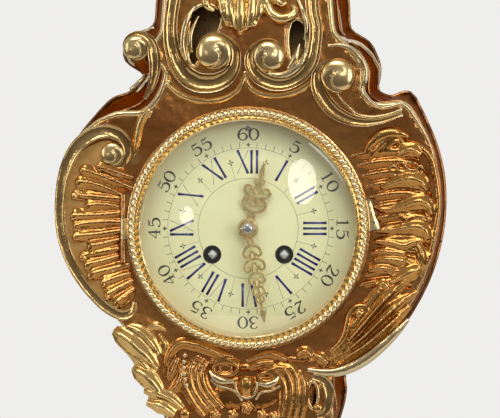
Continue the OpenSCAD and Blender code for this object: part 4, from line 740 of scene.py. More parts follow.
volutes = {
    "bands": [[(-61.9, 88, 0.5, 1.2), (-61.6, 93.4, 0.7, 1.4), (-57.6, 97.1, 1, 1.7),
               (-52, 96.6, 1.8, 2), (-48.2, 92.6, 2.7, 2.3), (-46.6, 86.6, 3.2, 2.4),
               (-46.4, 79.6, 2.8, 2), (-48, 71.6, 1.9, 1.4), (-51.6, 64.8, 0.9, 1)],
              [(45, 84.4, 0.5, 1.4), (38.6, 82.6, 1.2, 1.8), (34.8, 77.8, 2.3, 2.2),
               (34.6, 71.8, 3.2, 2.5), (36.9, 66, 3.8, 2.6), (41, 60.4, 3.9, 2.5),
               (46.6, 56.2, 3.4, 2.3), (54, 53.6, 2.6, 2), (64, 53.4, 1.7, 1.7), (77, 57, 1, 1.6)]],
    "ridges": [[(44.5, 67.3, 0.8), (47.6, 63, 1), (50.6, 60.2, 1.2), (54.5, 56.9, 1.2), (60, 55.6, 1.1),
                (68.5, 56.4, 1.1), (77, 59.3, 0.9)],
               [(40, 91.3, 0.8), (47, 91.3, 1.3), (53.5, 87.8, 1.6), (58, 81.3, 1.6), (58.5, 75.3, 1.5),
                (56.5, 69.3, 1.4), (59.5, 64.8, 1.3), (63.5, 61.3, 1.2), (68.5, 60.3, 1.1),
                (77, 62.5, 0.8)]],
    "eyes": [(-55.9, 90.4, 5.8, -0.7, 1), (44.8, 76.2, 7.8, 3.9, -1)],
    "onWall": [[(-50, 103, 0.7), (-56.5, 103.4, 1), (-62.4, 100.4, 1.1), (-65, 95.4, 1.1),
                (-64, 89.4, 1), (-60.4, 85, 0.7)],
               [(-55.5, 81.2, 0.6), (-58.6, 76.4, 1.3), (-62.4, 73, 1.2), (-65, 71.2, 0.6)],
               [(-52.6, 81.2, 0.5), (-55, 75.6, 1), (-58, 72, 1), (-60, 70.4, 0.5)],
               [(44.5, 95.7, 0.7), (51, 96.2, 1), (58.5, 93.2, 1.1), (64, 86.7, 1.1), (66, 79.2, 1),
                (65, 73.2, 0.7)],
               [(39, 115, 0.8), (40, 103, 0.9), (41, 91, 0.5)],
               [(44.5, 112, 0.7), (46, 104, 0.9), (48, 98, 0.5)]],
    "ridgeLift": 0.8, "evened": 7, "wallWidth": 1.4}

shoulder = bmesh.new()
carve(shoulder, volutes["bands"], "hollow")
carve(shoulder, [[(*point, volutes["ridgeLift"]) for point in line] for line in volutes["ridges"]], "rib")
for eye in volutes["eyes"]:
    eyeOf(*eye)
finishOrnament("shoulderVolutes", shoulder, giltBright, ["shoulder_volutes"], sharp=50)
# the eyes in a paler gilt than their bands: painted highlight
finishOrnament("scrollEyes", eyes, giltSatinSheen)

draped = bmesh.new()
for line in volutes["onWall"]:
    # finely spaced points, evened in depth and set on the nearest wall
    laid = []
    ends = [Vector(point) for point in line[:1] + line + line[-1:]]
    for a, b, c, d in zip(ends, ends[1:], ends[2:], ends[3:]):
        for step in range(8):
            t = step / 8
            x, y, half = b + (c - a + (2 * a - 5 * b + 4 * c - d + (3 * b - 3 * c + d - a) * t) * t) * t / 2
            hit = wallTree.ray_cast(Vector((x, y, 200)), Vector((0, 0, -1)))[0]
            if hit:
                laid.append((x, y, hit.z, half * volutes["wallWidth"]))
    run = []
    evened = volutes["evened"]
    for count, (x, y, z, half) in enumerate(laid):
        near = [spot[2] for spot in laid[max(0, count - evened):count + evened + 1]]
        seat = wallTree.find_nearest(Vector((x, y, sum(near) / len(near))))[0]
        run.append((seat.x, seat.y, max(seat.z, half + 0.3), half))
    sweep(draped, [run], steps=2)
finishPiece("wallScrolls", draped, giltBright, "case")


# Right shell: a frond over a rim of flutes with rolled ends

rightShell = {
    "waves": 13, "rootR": 62.5, "fan": (35, -27), "tips": (38.5, -27), "bow": (92, 10, 0.0075),
    "fronds": [[(58.4, 37.4, 1.2, 0.4), (62.2, 43.2, 2.8, 1.2), (67.8, 47, 3.4, 1.6),
                (74.6, 47.6, 3, 1.4), (80.4, 45.6, 1, 1)],
               [(61, 35, 1, 0.6), (65.6, 41, 1.9, 1.8), (70, 44.4, 2, 2.2), (76, 46, 1, 1.8)],
               [(65, 36, 1, 0.8), (69, 40.6, 1.8, 1.8), (73, 43.4, 1.7, 2), (77.4, 44, 0.8, 1.6)]],
    "rim": [(74.2, 38.4, 0.8, 1.4), (76.2, 41.4, 1.2, 1.6), (81.2, 42.4, 1.6, 1.4), (86.8, 40, 1.8, 1.2),
            (90.8, 35.4, 1.8, 1), (93, 28, 1.7, 0.8), (94.4, 20.3, 1.6, 0.6), (95, 11.8, 1.5, 0.6),
            (94, 3.3, 1.5, 0.6), (92.4, -5.8, 1.5, 0.6), (90, -15, 1.4, 0.6), (86, -24, 1, 0.6)],
    "rolls": [[(74.4, 36.6, 1, 1.2), (78, 38.6, 1.9, 2.2), (82, 39.2, 2.2, 2.4), (86.4, 37, 1.4, 1.6)],
              [(66.4, 20.6, 0.9, 0.4), (72, 22.6, 1.6, 1.6), (77, 24.2, 2.3, 2.4), (82, 24.8, 2.9, 2.8),
               (86.4, 23, 2.6, 2.4), (89.4, 19, 1.4, 1.4)],
              [(65, 9.6, 0.8, 0.2), (72, 9.8, 1.3, 1.4), (78, 11.4, 1.9, 2.2), (83, 13.2, 2.5, 2.6),
               (87, 13.4, 2.6, 2.6), (90.6, 10.6, 1.8, 1.8), (91.6, 7, 0.9, 1)],
              [(64.4, -0.9, 0.8, 0), (72.6, -0.5, 1.3, 1.4), (79, 0.4, 1.9, 2.2), (84, 1, 2.5, 2.6),
               (88, -0.6, 2.4, 2.4), (90.4, -5, 1.3, 1.4)],
              [(63.6, -6.3, 0.8, 0), (72, -7, 1.3, 1.6), (78, -8.4, 1.7, 2.4), (82.6, -6.6, 1.4, 2.2),
               (86.8, -5.8, 0.8, 1.6)],
              [(63, -11.4, 0.9, 0), (71, -11.6, 1.4, 1.6), (78.6, -12.6, 1.3, 2)],
              [(62.8, -16, 1, 0), (70.6, -15.4, 1.6, 1.6), (77, -16.2, 1.8, 2), (82, -17.8, 1.1, 1.6)],
              [(60, -20.6, 1, 0), (67.4, -19.8, 1.7, 1.4), (75, -21.4, 1.3, 1.6)],
              [(84.2, -7.4, 1.2, 1.6), (87, -12.4, 1.8, 2.2), (86.8, -17.6, 1.6, 2),
               (84.4, -20.8, 0.9, 1.6)],
              [(70.6, -27.6, 1.3, 1), (76.4, -24.2, 2.5, 2.2), (81.6, -21.4, 2.8, 2.6),
               (87, -18.6, 1, 1.6)],
              [(64.6, -31, 0.9, 0.8), (67.4, -27.6, 1.8, 2), (69.6, -29.6, 1.4, 1.6),
               (70.6, -33, 0.8, 1)]],
    "curls": [[(77.4, 32.8, 0.6, 3), (80.2, 29.6, 0.8, 3.4), (83.8, 29.2, 0.8, 3.4),
               (86.2, 31.4, 0.7, 3), (87, 28.2, 0.5, 2.4)],
              [(76, 6.6, 0.6, 2.8), (79, 5, 0.7, 3), (82.6, 6, 0.6, 2.8)],
              [(70, 30, 0.5, 2.4), (73.6, 31.2, 0.6, 2.8), (75, 28.6, 0.5, 2.4)]],
    "wave": [(0, 2, -1.2), (0.3, 2.6, 0), (0.6, 2.8, 0.7), (0.85, 2.6, 0.8), (1, 1.8, -0.2)],
    "quill": [(0.1, 0.7, -0.4), (0.4, 1, 0.7), (0.7, 1, 1.1), (0.9, 0.7, 0.6)],
    "quillSides": [(-1.9, 0.7), (1.8, 0.6)]}


def between(pair, t):
    return pair[0] + (pair[1] - pair[0]) * t


border = bmesh.new()
carve(border, [rightShell["rim"]], "rib")
shellLines, quills = [], []
far, level, bend = rightShell["bow"]
for count in range(rightShell["waves"]):
    t = count / (rightShell["waves"] - 1)
    turn = radians(between(rightShell["fan"], t))
    rootX, rootY = rightShell["rootR"] * cos(turn), rightShell["rootR"] * sin(turn)
    tipY = between(rightShell["tips"], t)
    tipX = far - bend * (tipY - level) ** 2 - 2.5 * (count % 2)
    acrossAt = lambda u: rootX + (tipX - rootX) * u
    upAt = lambda u: rootY + (tipY - rootY) * u + 1.6 * sin(pi * u) - 1.2 * u ** 4
    shellLines.append([(acrossAt(u), upAt(u), half, lift) for u, half, lift in rightShell["wave"]])
    for shift, wide in rightShell["quillSides"]:
        quills.append([(acrossAt(u), upAt(u) + shift, wide * part, lift)
                       for u, part, lift in rightShell["quill"]])
rolls = [[(x, y, half * 1.12, lift + 0.6) for x, y, half, lift in roll] for roll in rightShell["rolls"]]
carve(border, shellLines + quills + rolls, "swell")
carve(border, rightShell["curls"] + rightShell["fronds"], "rib")
finishOrnament("rightShell", border, giltRelief, ["right_rocaille"], cast=(fineVoxel, 9))
print("shoulders and right shell done")


# Acanthus that sweeps up at the lower right, and leaf lobes at the lower left

acanthus = {
    "stem": [(30, -70.4, 1.4, 0.8), (38, -71.6, 2.3, 1.2), (47, -70.6, 2.9, 1.6), (57, -66, 3.2, 2),
             (66, -59, 3.1, 2), (74, -51.6, 2.3, 1.6), (80, -45.4, 1, 1.2)],
    "folds": [[(43, -66.6, 1.6, 0.6), (54, -61.4, 3.2, 1.4), (63, -54.4, 3.8, 2), (71, -47, 3.2, 1.8),
               (81, -38.6, 1, 1.2)],
              [(45, -63.4, 1.6, 0.6), (55, -56.6, 3.3, 1.6), (63, -48.6, 3.9, 2.2), (72, -39.6, 3.4, 2),
               (84.6, -31, 1, 1.4)],
              [(46, -59.8, 1.5, 0.6), (54, -51.8, 3, 1.6), (61.4, -42.8, 3.6, 2.2),
               (69.4, -33.6, 3.5, 2.2), (78, -26.6, 2.2, 1.8), (84.6, -21, 0.9, 1.4)],
              [(46.4, -56.4, 1.2, 0.4), (52.4, -48.8, 2.5, 1.4), (58.4, -40.2, 2.9, 2),
               (64.4, -32.4, 2.6, 2), (68.4, -27.2, 1.2, 1.6)],
              [(39, -66, 1, 0.6), (45, -62.2, 1.8, 1.4), (50, -57.4, 1.6, 1.6), (53, -52.4, 0.8, 1.2)]],
    "veins": [[(50, -63.4, 0.4, 3.2), (58.4, -58, 0.6, 4.6), (67, -50.8, 0.6, 4.9),
               (75, -43.6, 0.4, 3.4)],
              [(51, -59.6, 0.4, 3.4), (59, -52.6, 0.6, 5), (67.6, -44.2, 0.6, 5), (77, -36.2, 0.4, 3.4)],
              [(50.6, -55.6, 0.4, 3), (57.6, -47.4, 0.6, 4.7), (65.4, -38.2, 0.6, 5),
               (73, -30.6, 0.4, 4)]],
    "scroll": [(41, -61.8, 1.2, 1), (47, -55.4, 2.2, 2), (49.5, -48.4, 2.2, 2.2), (51, -42.6, 2, 2.2),
               (56, -38.6, 1.8, 2.4), (59.8, -41.3, 1.5, 2.4), (57, -45, 0.9, 2.2)],
    "knob": (55.6, -42.4, 2.4)}

sprays = bmesh.new()
folds = [[(x, y, half * 0.8, lift) for x, y, half, lift in line] for line in acanthus["folds"]]
carve(sprays, folds, "swell")
carve(sprays, acanthus["veins"] + [acanthus["scroll"]], "rib")
x, y, r = acanthus["knob"]
addBall(sprays, x, y, faceDepth + 2.6, r, 0.9, 16)
finishOrnament("rightAcanthus", sprays, giltRelief, ["right_acanthus"], cast=(fineVoxel, 3))
stem = bmesh.new()
carve(stem, [acanthus["stem"]], "rib")
finishOrnament("acanthusStem", stem, giltBright, sharp=60)

lowerLeaves = [
    [(-67, -50.6, 1.6, 0.8), (-63.6, -53, 3.2, 1.6), (-57.6, -57.6, 3.9, 2), (-51, -63.6, 3.4, 1.6),
     (-45, -70.6, 1.4, 0.8)],
    [(-60.6, -48.6, 1.2, 0.6), (-54.6, -51.4, 2.4, 1.2), (-49, -56.6, 2.6, 1.4),
     (-44.4, -63.4, 1.1, 0.6)],
    [(-57.6, -69.4, 1.4, 0.8), (-54.6, -71.2, 3, 1.6), (-49.6, -75, 3.5, 1.8), (-45, -80.2, 2.4, 1.4),
     (-42, -85, 1, 0.8)],
    [(-60, -61.4, 1, 0.6), (-54.4, -65.6, 2.2, 1.4), (-48.4, -72, 1.4, 0.8)],
    [(-52, -80.6, 1.2, 0.6), (-46, -82.2, 2.4, 1.4), (-39, -85, 2.6, 1.4), (-32, -90.6, 1.2, 0.6)],
    [(-50.6, -86.6, 1.4, 0.8), (-43.6, -88.6, 2.8, 1.6), (-36.4, -93.2, 1.4, 0.8)],
    [(-50.6, -50.4, 0.8, 0.6), (-45.5, -48.7, 1.7, 1), (-41, -51, 0.8, 0.6)],
    [(-44.6, -52.6, 0.6, 0.6), (-41.6, -57.6, 1.5, 1), (-42, -63, 0.8, 0.6)],
    [(-62, -55.4, 0.4, 4), (-55.6, -60.6, 0.6, 4.6), (-48.6, -67.4, 0.5, 3)],
    [(-53.6, -73.4, 0.4, 3.8), (-48.4, -77.6, 0.6, 3.8), (-44, -82.6, 0.4, 2.4)]]

lobed = bmesh.new()
carve(lobed, lowerLeaves, "swell")
finishOrnament("lowerLeftLeaves", lobed, giltRope, ["lower_left_leaves"], cast=(fineVoxel, 3))
print("leaves done")


# Apron: arches, folds and rosettes under the dial, and the hanging leaf below

apron = {
    "arches": [[(-40.8, -68.4, 1.1, 0.8), (-38.4, -61.4, 1.8, 1.2), (-33.9, -57.5, 2.2, 1.4),
                (-27.2, -57.9, 2.3, 1.6), (-20.5, -60, 2.2, 1.6), (-13.8, -62.9, 1.8, 1.4),
                (-7.4, -64.2, 0.8, 1)],
               [(-1, -66.2, 0.7, 0.8), (6, -63.8, 1.4, 1), (12.6, -63, 1.7, 1.2), (19.6, -65.6, 1.1, 1)],
               [(-19, -66.6, 1.4, 0.4), (-11.4, -65.4, 2, 0.8), (-4, -68, 1.5, 0.6)],
               [(0, -70, 1.3, 0.6), (6, -67.4, 1.9, 0.8), (13, -66.8, 1.6, 0.6)],
               [(4.9, -73.2, 0.8, 1), (11.6, -70.6, 1.5, 1.2), (19.7, -69.6, 1.4, 1.2),
                (26, -72.4, 0.9, 1)],
               [(-40, -76, 1.2, 0.4), (-37, -70, 2.6, 0.8), (-34.6, -64.6, 2, 0.8)],
               [(-39, -82.6, 1.4, 0.4), (-34.6, -77, 2.4, 1), (-33, -70, 1.8, 0.8)],
               [(24.6, -63.8, 1.4, 1), (27.6, -61.4, 2.2, 1.6), (31, -63.4, 2, 1.6),
                (30.4, -66.6, 1.3, 1.2)],
               [(33, -62.6, 1.4, 1.2), (36.4, -64.4, 2.2, 1.8), (39.8, -67.4, 1.5, 1.4)]],
    "folds": [[(-19.4, -66.6, 1.2, 0.4), (-22.4, -71, 1.9, 1), (-22.2, -77, 2, 1.2),
               (-18.6, -83.6, 1.9, 1.2), (-12.6, -90, 1.3, 0.8)],
              [(-21.6, -64.6, 1.2, 0.4), (-25.2, -69.8, 2, 1.2), (-25.4, -77, 2.1, 1.4),
               (-21.6, -84.4, 2, 1.4), (-15, -91.4, 1.3, 0.8)],
              [(-24.4, -63.2, 1.2, 0.4), (-28.2, -69, 2, 1.2), (-28.4, -77.4, 2.1, 1.4),
               (-24.6, -85.4, 2, 1.4), (-18.4, -92.6, 1.3, 0.8)],
              [(-33.6, -74, 1.2, 0.6), (-31, -80, 1.8, 1.2), (-27.4, -86.6, 1.8, 1.4),
               (-21.6, -94, 1.1, 0.8)],
              [(8, -70.8, 1, 0.6), (14, -72, 1.7, 1), (17.6, -77, 2, 1.2), (18.4, -85, 2, 1.2),
               (16.4, -94, 1.5, 0.8)],
              [(11, -68.6, 1, 0.6), (17.4, -70, 1.7, 1.2), (21, -76, 2, 1.4), (21.6, -85, 2, 1.4),
               (19.8, -94.4, 1.5, 0.8)],
              [(19.6, -67.6, 1, 0.6), (23.4, -71.6, 1.8, 1.2), (24.8, -78, 2, 1.4), (24.8, -86, 2, 1.4),
               (23.2, -94.6, 1.5, 0.8)],
              [(26, -70.6, 1, 0.6), (28, -77, 1.6, 1.2), (27.9, -86, 1.6, 1.2), (26.6, -94.6, 1.3, 0.8)]],
    "ground": [[(-36, -60, 3, -1.6), (-37.6, -70, 4, -1.8), (-33, -80, 4, -1.8), (-26, -90, 3, -1.6)],
               [(22, -70, 3, -1.6), (27, -78, 4, -1.8), (26, -88, 4, -1.8), (22, -96, 3, -1.6)],
               [(-13, -66, 3.4, -1.8), (0, -69.4, 4.4, -2.2), (11, -67, 3.4, -1.8)],
               [(-31, -57.6, 2.4, -1.2), (-20, -61.6, 3.4, -1.7), (-8, -65, 2.6, -1.3)],
               [(6, -63.6, 2.4, -1.2), (18, -64.6, 3.2, -1.6), (30, -66, 3, -1.5)],
               [(-47, -55, 2.6, -1.3), (-43, -63, 3.4, -1.8), (-41, -74, 3, -1.6)],
               [(34, -67, 2.4, -1.2), (38, -72, 3, -1.5), (36, -80, 2.4, -1.2)],
               [(-16, -86, 3, -1.5), (-4, -88.6, 3.6, -1.8), (10, -87.6, 3, -1.5)]],
    "ribbon": [(32.6, -73.8, 1.6, 1.2), (37.6, -75.6, 2.3, 1.6), (40.4, -80.4, 2.5, 1.8),
               (40.4, -86.4, 2.4, 1.8), (38.2, -92.4, 1.8, 1.4), (34.6, -93.6, 1.1, 1)],
    "crescents": [[(-19.2, -71.2, 0.8, 1.8), (-17, -74, 2, 2.2), (-13, -76, 2.4, 2.4),
                   (-7.2, -76.4, 1.2, 2)],
                  [(-18.6, -75.6, 0.6, 1.8), (-14.6, -78.6, 0.8, 2.2), (-9.6, -80, 0.8, 2.4),
                   (-6.2, -81.6, 0.8, 2.4), (-3, -86, 0.6, 2)],
                  [(15.4, -74.2, 0.8, 1.8), (13.6, -76.4, 1.7, 2.2), (9.8, -78, 2, 2.4),
                   (5.4, -77.6, 1, 2)],
                  [(16, -78.6, 0.6, 1.8), (11.6, -81, 0.8, 2.2), (6.6, -82, 0.8, 2.4),
                   (4, -85.4, 0.6, 2)]],
    "eyes": [(-11.2, -70, 6, 3.5), (9.4, -74.2, 4, 2.2)], "cup": (-0.8, -79.6, 4.8, 3.9),
    "shield": (-0.6, -82.6, 17, 9.5),
    "beads": [(-31.6, -63.4), (-32, -66.6), (-32, -69.6), (-31.8, -72.6), (-31.4, -75.4), (-30.6, -78.4)],
    "rosettes": [(-0.6, -89.8, 3), (-16.4, -93.4, 3), (-7.4, -92.8, 2.6), (7, -93, 2.8),
                 (13, -93.8, 2.6)],
    "knobs": [(-31.4, -92.6, 3.4), (35, -89.6, 2.8)]}

under = bmesh.new()
x, y, wide, high = apron["shield"]
bmesh.ops.create_uvsphere(under, u_segments=40, v_segments=20, radius=1, matrix=Matrix.Translation(
    (x, y, faceDepth - 0.6)) @ Matrix.Diagonal((wide, high, 2.6, 1)))
carve(under, apron["arches"] + apron["folds"] + apron["ground"], "swell")
for x, y, wide, high in apron["eyes"]:
    # hollow dishes with a raised rim
    for size, half, lift in ((1, 1.2, 1.4), (0.5, 0.7, 1.0)):
        rim = [(x + wide * size * cos(k * pi / 8), y + high * size * sin(k * pi / 8), half, lift)
               for k in range(16)]
        carve(under, [rim], "rib", closed=True)
x, y, wide, high = apron["cup"]
cup = [(x, y + 4.4, wide, 0.2), (x, y + 2, wide, 0.9), (x, y - 2, wide * 0.72, 1.2),
       (x, y - high - 0.6, wide * 0.3, 1)]
carve(under, [cup], "rib")
for x, y, r in apron["rosettes"]:
    addBall(under, x, y, faceDepth + 2.6, r * 0.42, 0.9, 16)
    for petal in range(5):
        turn = petal * 2 * pi / 5 + 0.3
        addBall(under, x + r * 0.66 * sin(turn), y + r * 0.66 * cos(turn), faceDepth + 1.8, r * 0.5, 0.7, 14)
for x, y, r in apron["knobs"]:
    addBall(under, x, y, seatAt(x, y) + 0.8, r, 0.8, 18)
finishOrnament("apronCartouche", under, giltRelief, ["apron_cartouche"], cast=(fineVoxel, 4))

wings = bmesh.new()
carve(wings, apron["crescents"], "rib")
carve(wings, [apron["ribbon"]], "dish")
x, y, wide, high = apron["cup"]
lip = [(x - wide - 0.6, y + 3, 0.7, 2), (x - wide - 0.2, y - 0.6, 0.9, 2.2), (x - 3, y - high, 0.9, 2.4),
       (x + 0.2, y - high - 1, 0.9, 2.6), (x + 3.2, y - high, 0.9, 2.4), (x + wide + 0.2, y - 0.6, 0.9, 2.2),
       (x + wide + 0.6, y + 3, 0.7, 2)]
carve(wings, [lip], "rib")
for x, y in apron["beads"]:
    addBall(wings, x, y, seatAt(x, y) + 1.6, 1.35, 0.9, 14)
finishOrnament("apronWings", wings, giltBright, sharp=60)

drop = {
    "fronds": [(-17, -98, -7, -138), (-8.6, -97, -3.6, -145), (0, -96, 0, -149), (8.6, -97, 3.6, -145),
               (17, -98, 7, -138)],
    "ball": (0, -151.5, 4.6), "tip": [(0, -151, 3.4, 1.8), (0, -159, 2.4, 1.6), (0, -168, 0.8, 1)]}

hanging = bmesh.new()
dropLines = []
for topX, topY, lowX, lowY in drop["fronds"]:
    dropLines.append([(topX, topY, 2, 1.2), (topX * 1.08, (topY * 2 + lowY) / 3, 4.4, 3),
                      (lowX * 1.5, (topY + lowY * 2) / 3, 3.6, 3.4), (lowX, lowY, 1, 1.8)])
carve(hanging, dropLines, "leaf")
x, y, r = drop["ball"]
addBall(hanging, x, y, faceDepth + 1.4, r)
carve(hanging, [drop["tip"]], "rib")
finishOrnament("pendantLeaf", hanging, giltRelief, ["pendant"], cast=(broadVoxel, 2))
print("apron and pendant done")


# Bezel: turned moulding with a two-strand rope

bezelLook = {
    "profile": [(60.9, 71.9), (60.9, 73.4), (60.5, 74.0), (59.9, 74.1), (59.4, 73.8), (59, 74.0),
                (56.6, 75.0), (56.2, 75.7), (55.6, 76.0), (54.9, 76.35), (54.45, 77.0), (54.1, 77.2),
                (53.8, 77.0), (53.7, 75.6), (55.4, 75.5), (57, 72.2)],
    "ropeR": 57.95, "ropeZ": 75.2, "strand": 1.3, "coil": 0.82, "turns": 54, "strandPoints": 8,
    "fin": [(59.8, 14.6), (61.4, 13.9), (63.2, 6.4), (66.1, 0.4), (65.4, -1.0), (63.4, -0.6), (59.8, -1)],
    "knuckle": 10.7, "finDepths": (72.0, 73.6),
    "finRib": [(60.8, 14, 73, 0.6), (61.9, 8.4, 73.1, 1.2), (63.6, 2.8, 73.1, 1.5), (65, 0, 73, 0.8)],
    "knuckleR": 1.5}

ring = bmesh.new()
spun(ring, bezelLook["profile"], True, 160)
# the opening fin on the right, and the hinge knuckle with its leaf on the left
addPlate(ring, bezelLook["fin"], *bezelLook["finDepths"])
sweep(ring, [bezelLook["finRib"]])
hingeLow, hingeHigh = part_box("bezel_hinge_pin")
hingeX, hingeZ = (hingeLow[0] + hingeHigh[0]) * 500, -(hingeLow[1] + hingeHigh[1]) * 500
bmesh.ops.create_cone(ring, cap_ends=True, segments=28, radius1=bezelLook["knuckleR"],
                      radius2=bezelLook["knuckleR"], depth=bezelLook["knuckle"],
                      matrix=Matrix.Translation((hingeX, 0, hingeZ)) @ Matrix.Rotation(radians(90), 4, 'X'))
bmesh.ops.create_cube(ring, size=1, matrix=Matrix.Translation((hingeX + 1.4, 0, hingeZ)) @ Matrix.Diagonal(
    (2.8, bezelLook["knuckle"], 1, 1)))
finishPiece("bezelMoulding", ring, giltRope, "bezel", ["bezel"], sharp=35)

rope = bmesh.new()
points = bezelLook["turns"] * bezelLook["strandPoints"]
for strand in range(2):
    line = []
    for step in range(points):
        around = 2 * pi * step / points
        twist = around * bezelLook["turns"] + strand * pi
        r = bezelLook["ropeR"] + bezelLook["coil"] * cos(twist)
        z = bezelLook["ropeZ"] + bezelLook["coil"] * sin(twist)
        line.append((r * cos(around), r * sin(around), z, bezelLook["strand"]))
    sweep(rope, [line], closed=True, steps=2, sides=1)
finishPiece("bezelRope", rope, giltRope, "bezel")

glassLook = {"sight": 53.35, "seat": 55.4, "rim": 73.8, "rise": 9, "thick": 1.6, "rings": 24}
domeAt = lambda r: glassLook["rise"] * (1 - (r / glassLook["sight"]) ** 2)
steps = [glassLook["sight"] * k / glassLook["rings"] for k in range(glassLook["rings"] + 1)]
inner = [(r, glassLook["rim"] + domeAt(r)) for r in steps]
flange = [(glassLook["seat"], glassLook["rim"]), (glassLook["seat"], glassLook["rim"] + glassLook["thick"])]
outer = [(r, glassLook["rim"] + glassLook["thick"] + domeAt(r)) for r in reversed(steps)]
dome = bmesh.new()
spun(dome, inner + flange + outer, False, 128)
finishPiece("bezelGlass", dome, clockGlass, "bezel", ["bezel_glass"], sharp=40)
print("bezel done")


# Dial: fired enamel with painted marks

dialLook = {"r": 54.6, "low": 62.0, "thick": 2.0, "rise": 2.2, "rings": 40,
            "holes": [(0, 0, 4.0), (18, -13, 4.3), (-18, -13, 4.3), (0, 50, 1.4)], "paint": 0.05}


def enamelTop(x, y):
    return dialLook["low"] + dialLook["thick"] + dialLook["rise"] * (1 - (x * x + y * y) / dialLook["r"] ** 2)


enamel = bmesh.new()
steps = [dialLook["r"] * k / dialLook["rings"] for k in range(dialLook["rings"] + 1)]
face = [(r, enamelTop(r, 0)) for r in steps]
back = [(r, enamelTop(r, 0) - dialLook["thick"]) for r in reversed(steps)]
spun(enamel, face + back, False, 160)
bmesh.ops.recalc_face_normals(enamel, faces=enamel.faces)
cutters = bmesh.new()
for x, y, r in dialLook["holes"]:
    bmesh.ops.create_cone(cutters, cap_ends=True, segments=48, radius1=r, radius2=r, depth=20,
                          matrix=Matrix.Translation((x, y, 64)))
board, bits = linked("enamel", meshFrom("enamel", enamel)), linked("cutters", meshFrom("cutters", cutters))
drill = board.modifiers.new("drill", 'BOOLEAN')
drill.operation = 'DIFFERENCE'
drill.solver = 'EXACT'
drill.object = bits
disc = bmesh.new()
pour(disc, takeMesh(board))
discard(bits)
finishPiece("enamelDial", disc, dialEnamel, "case", ["dial"], sharp=30)


def paintOn(bm, lines, turn=0.0, smooth=False, steps=1, closed=False):
    # strokes of (x, y, half width), drawn at twelve o'clock, turned clockwise to their place
    # and laid on the dome as thin raised paint
    c, s = cos(turn), sin(turn)
    before = len(bm.verts)
    turned = [[(x * c + y * s, y * c - x * s, 0, half) for x, y, half in line] for line in lines]
    sweep(bm, turned, closed=closed, smooth=smooth, steps=steps, sides=1)
    for vert in bm.verts[before:]:
        vert.co.z = enamelTop(vert.co.x, vert.co.y) + max(-0.06, min(dialLook["paint"], vert.co.z * 0.3))


figures = {
    "0": [[(0.3, 1, 0.03), (0.1, 0.82, 0.06), (0.03, 0.5, 0.085), (0.1, 0.18, 0.06), (0.3, 0, 0.03),
           (0.5, 0.18, 0.06), (0.57, 0.5, 0.085), (0.5, 0.82, 0.06), (0.3, 1, 0.03)]],
    "1": [[(0.3, 1, 0.06), (0.3, 0.5, 0.075), (0.3, 0, 0.06)],
          [(0.12, 0, 0.028), (0.3, 0.02, 0.028), (0.48, 0, 0.028)],
          [(0.3, 0.98, 0.03), (0.2, 0.9, 0.028), (0.12, 0.86, 0.025)]],
    "2": [[(0.14, 0.76, 0.07), (0.1, 0.84, 0.045), (0.3, 1, 0.03), (0.5, 0.86, 0.07), (0.46, 0.62, 0.08),
           (0.26, 0.32, 0.045), (0.04, 0.04, 0.028)],
          [(0.04, 0.04, 0.04), (0.22, 0.06, 0.06), (0.44, 0.03, 0.055), (0.57, 0.16, 0.025)]],
    "3": [[(0.12, 0.82, 0.065), (0.14, 0.93, 0.035), (0.32, 1, 0.03), (0.49, 0.84, 0.07),
           (0.42, 0.64, 0.05), (0.24, 0.55, 0.025)],
          [(0.24, 0.55, 0.025), (0.46, 0.47, 0.055), (0.55, 0.27, 0.085), (0.44, 0.06, 0.05),
           (0.25, 0, 0.03), (0.07, 0.1, 0.04), (0.09, 0.19, 0.065)]],
    "4": [[(0.42, 1, 0.03), (0.22, 0.66, 0.026), (0.03, 0.33, 0.03)],
          [(0.03, 0.33, 0.03), (0.3, 0.33, 0.03), (0.6, 0.33, 0.03)],
          [(0.42, 1, 0.045), (0.42, 0.5, 0.075), (0.42, 0, 0.06)],
          [(0.26, 0, 0.025), (0.42, 0.01, 0.025), (0.58, 0, 0.025)]],
    "5": [[(0.14, 0.96, 0.05), (0.34, 0.93, 0.055), (0.52, 1, 0.025)],
          [(0.14, 0.97, 0.026), (0.12, 0.76, 0.026), (0.1, 0.56, 0.026)],
          [(0.1, 0.56, 0.026), (0.3, 0.64, 0.04), (0.5, 0.54, 0.07), (0.56, 0.33, 0.09),
           (0.46, 0.08, 0.055), (0.25, 0, 0.03), (0.07, 0.08, 0.045), (0.09, 0.18, 0.065)]],
    "6": [[(0.5, 0.86, 0.06), (0.4, 0.99, 0.03), (0.2, 0.88, 0.05), (0.06, 0.62, 0.08),
           (0.04, 0.35, 0.09), (0.12, 0.1, 0.055), (0.3, 0, 0.03), (0.5, 0.12, 0.06), (0.56, 0.3, 0.085),
           (0.48, 0.5, 0.05), (0.3, 0.58, 0.03), (0.1, 0.46, 0.03)]]}
minuteRing = {
    "foot": 44.2, "height": 5.9, "wide": 1.35, "advance": 0.7, "weight": 1.15,
    "tick": (40.4, 43.0, 0.13), "star": 41.8,
    "starArm": [(-1.1, 0.1), (-0.55, 0.36), (0, 0.1), (0.55, 0.36), (1.1, 0.1)],
    "circles": [(25, 0.09), (40.3, 0.07)]}
flowerLook = [[(0, 25.2, 0.08), (0, 32, 0.08)], [(0, 32.2, 0.1), (0, 32.9, 0.34), (0, 33.6, 0.1)],
              [(0, 34, 0.1), (0, 34.8, 0.4), (0, 35.6, 0.1)],
              [(-1.5, 33.9, 0.1), (-0.8, 33.8, 0.36), (-0.15, 33.8, 0.1)],
              [(1.5, 33.9, 0.1), (0.8, 33.8, 0.36), (0.15, 33.8, 0.1)]]

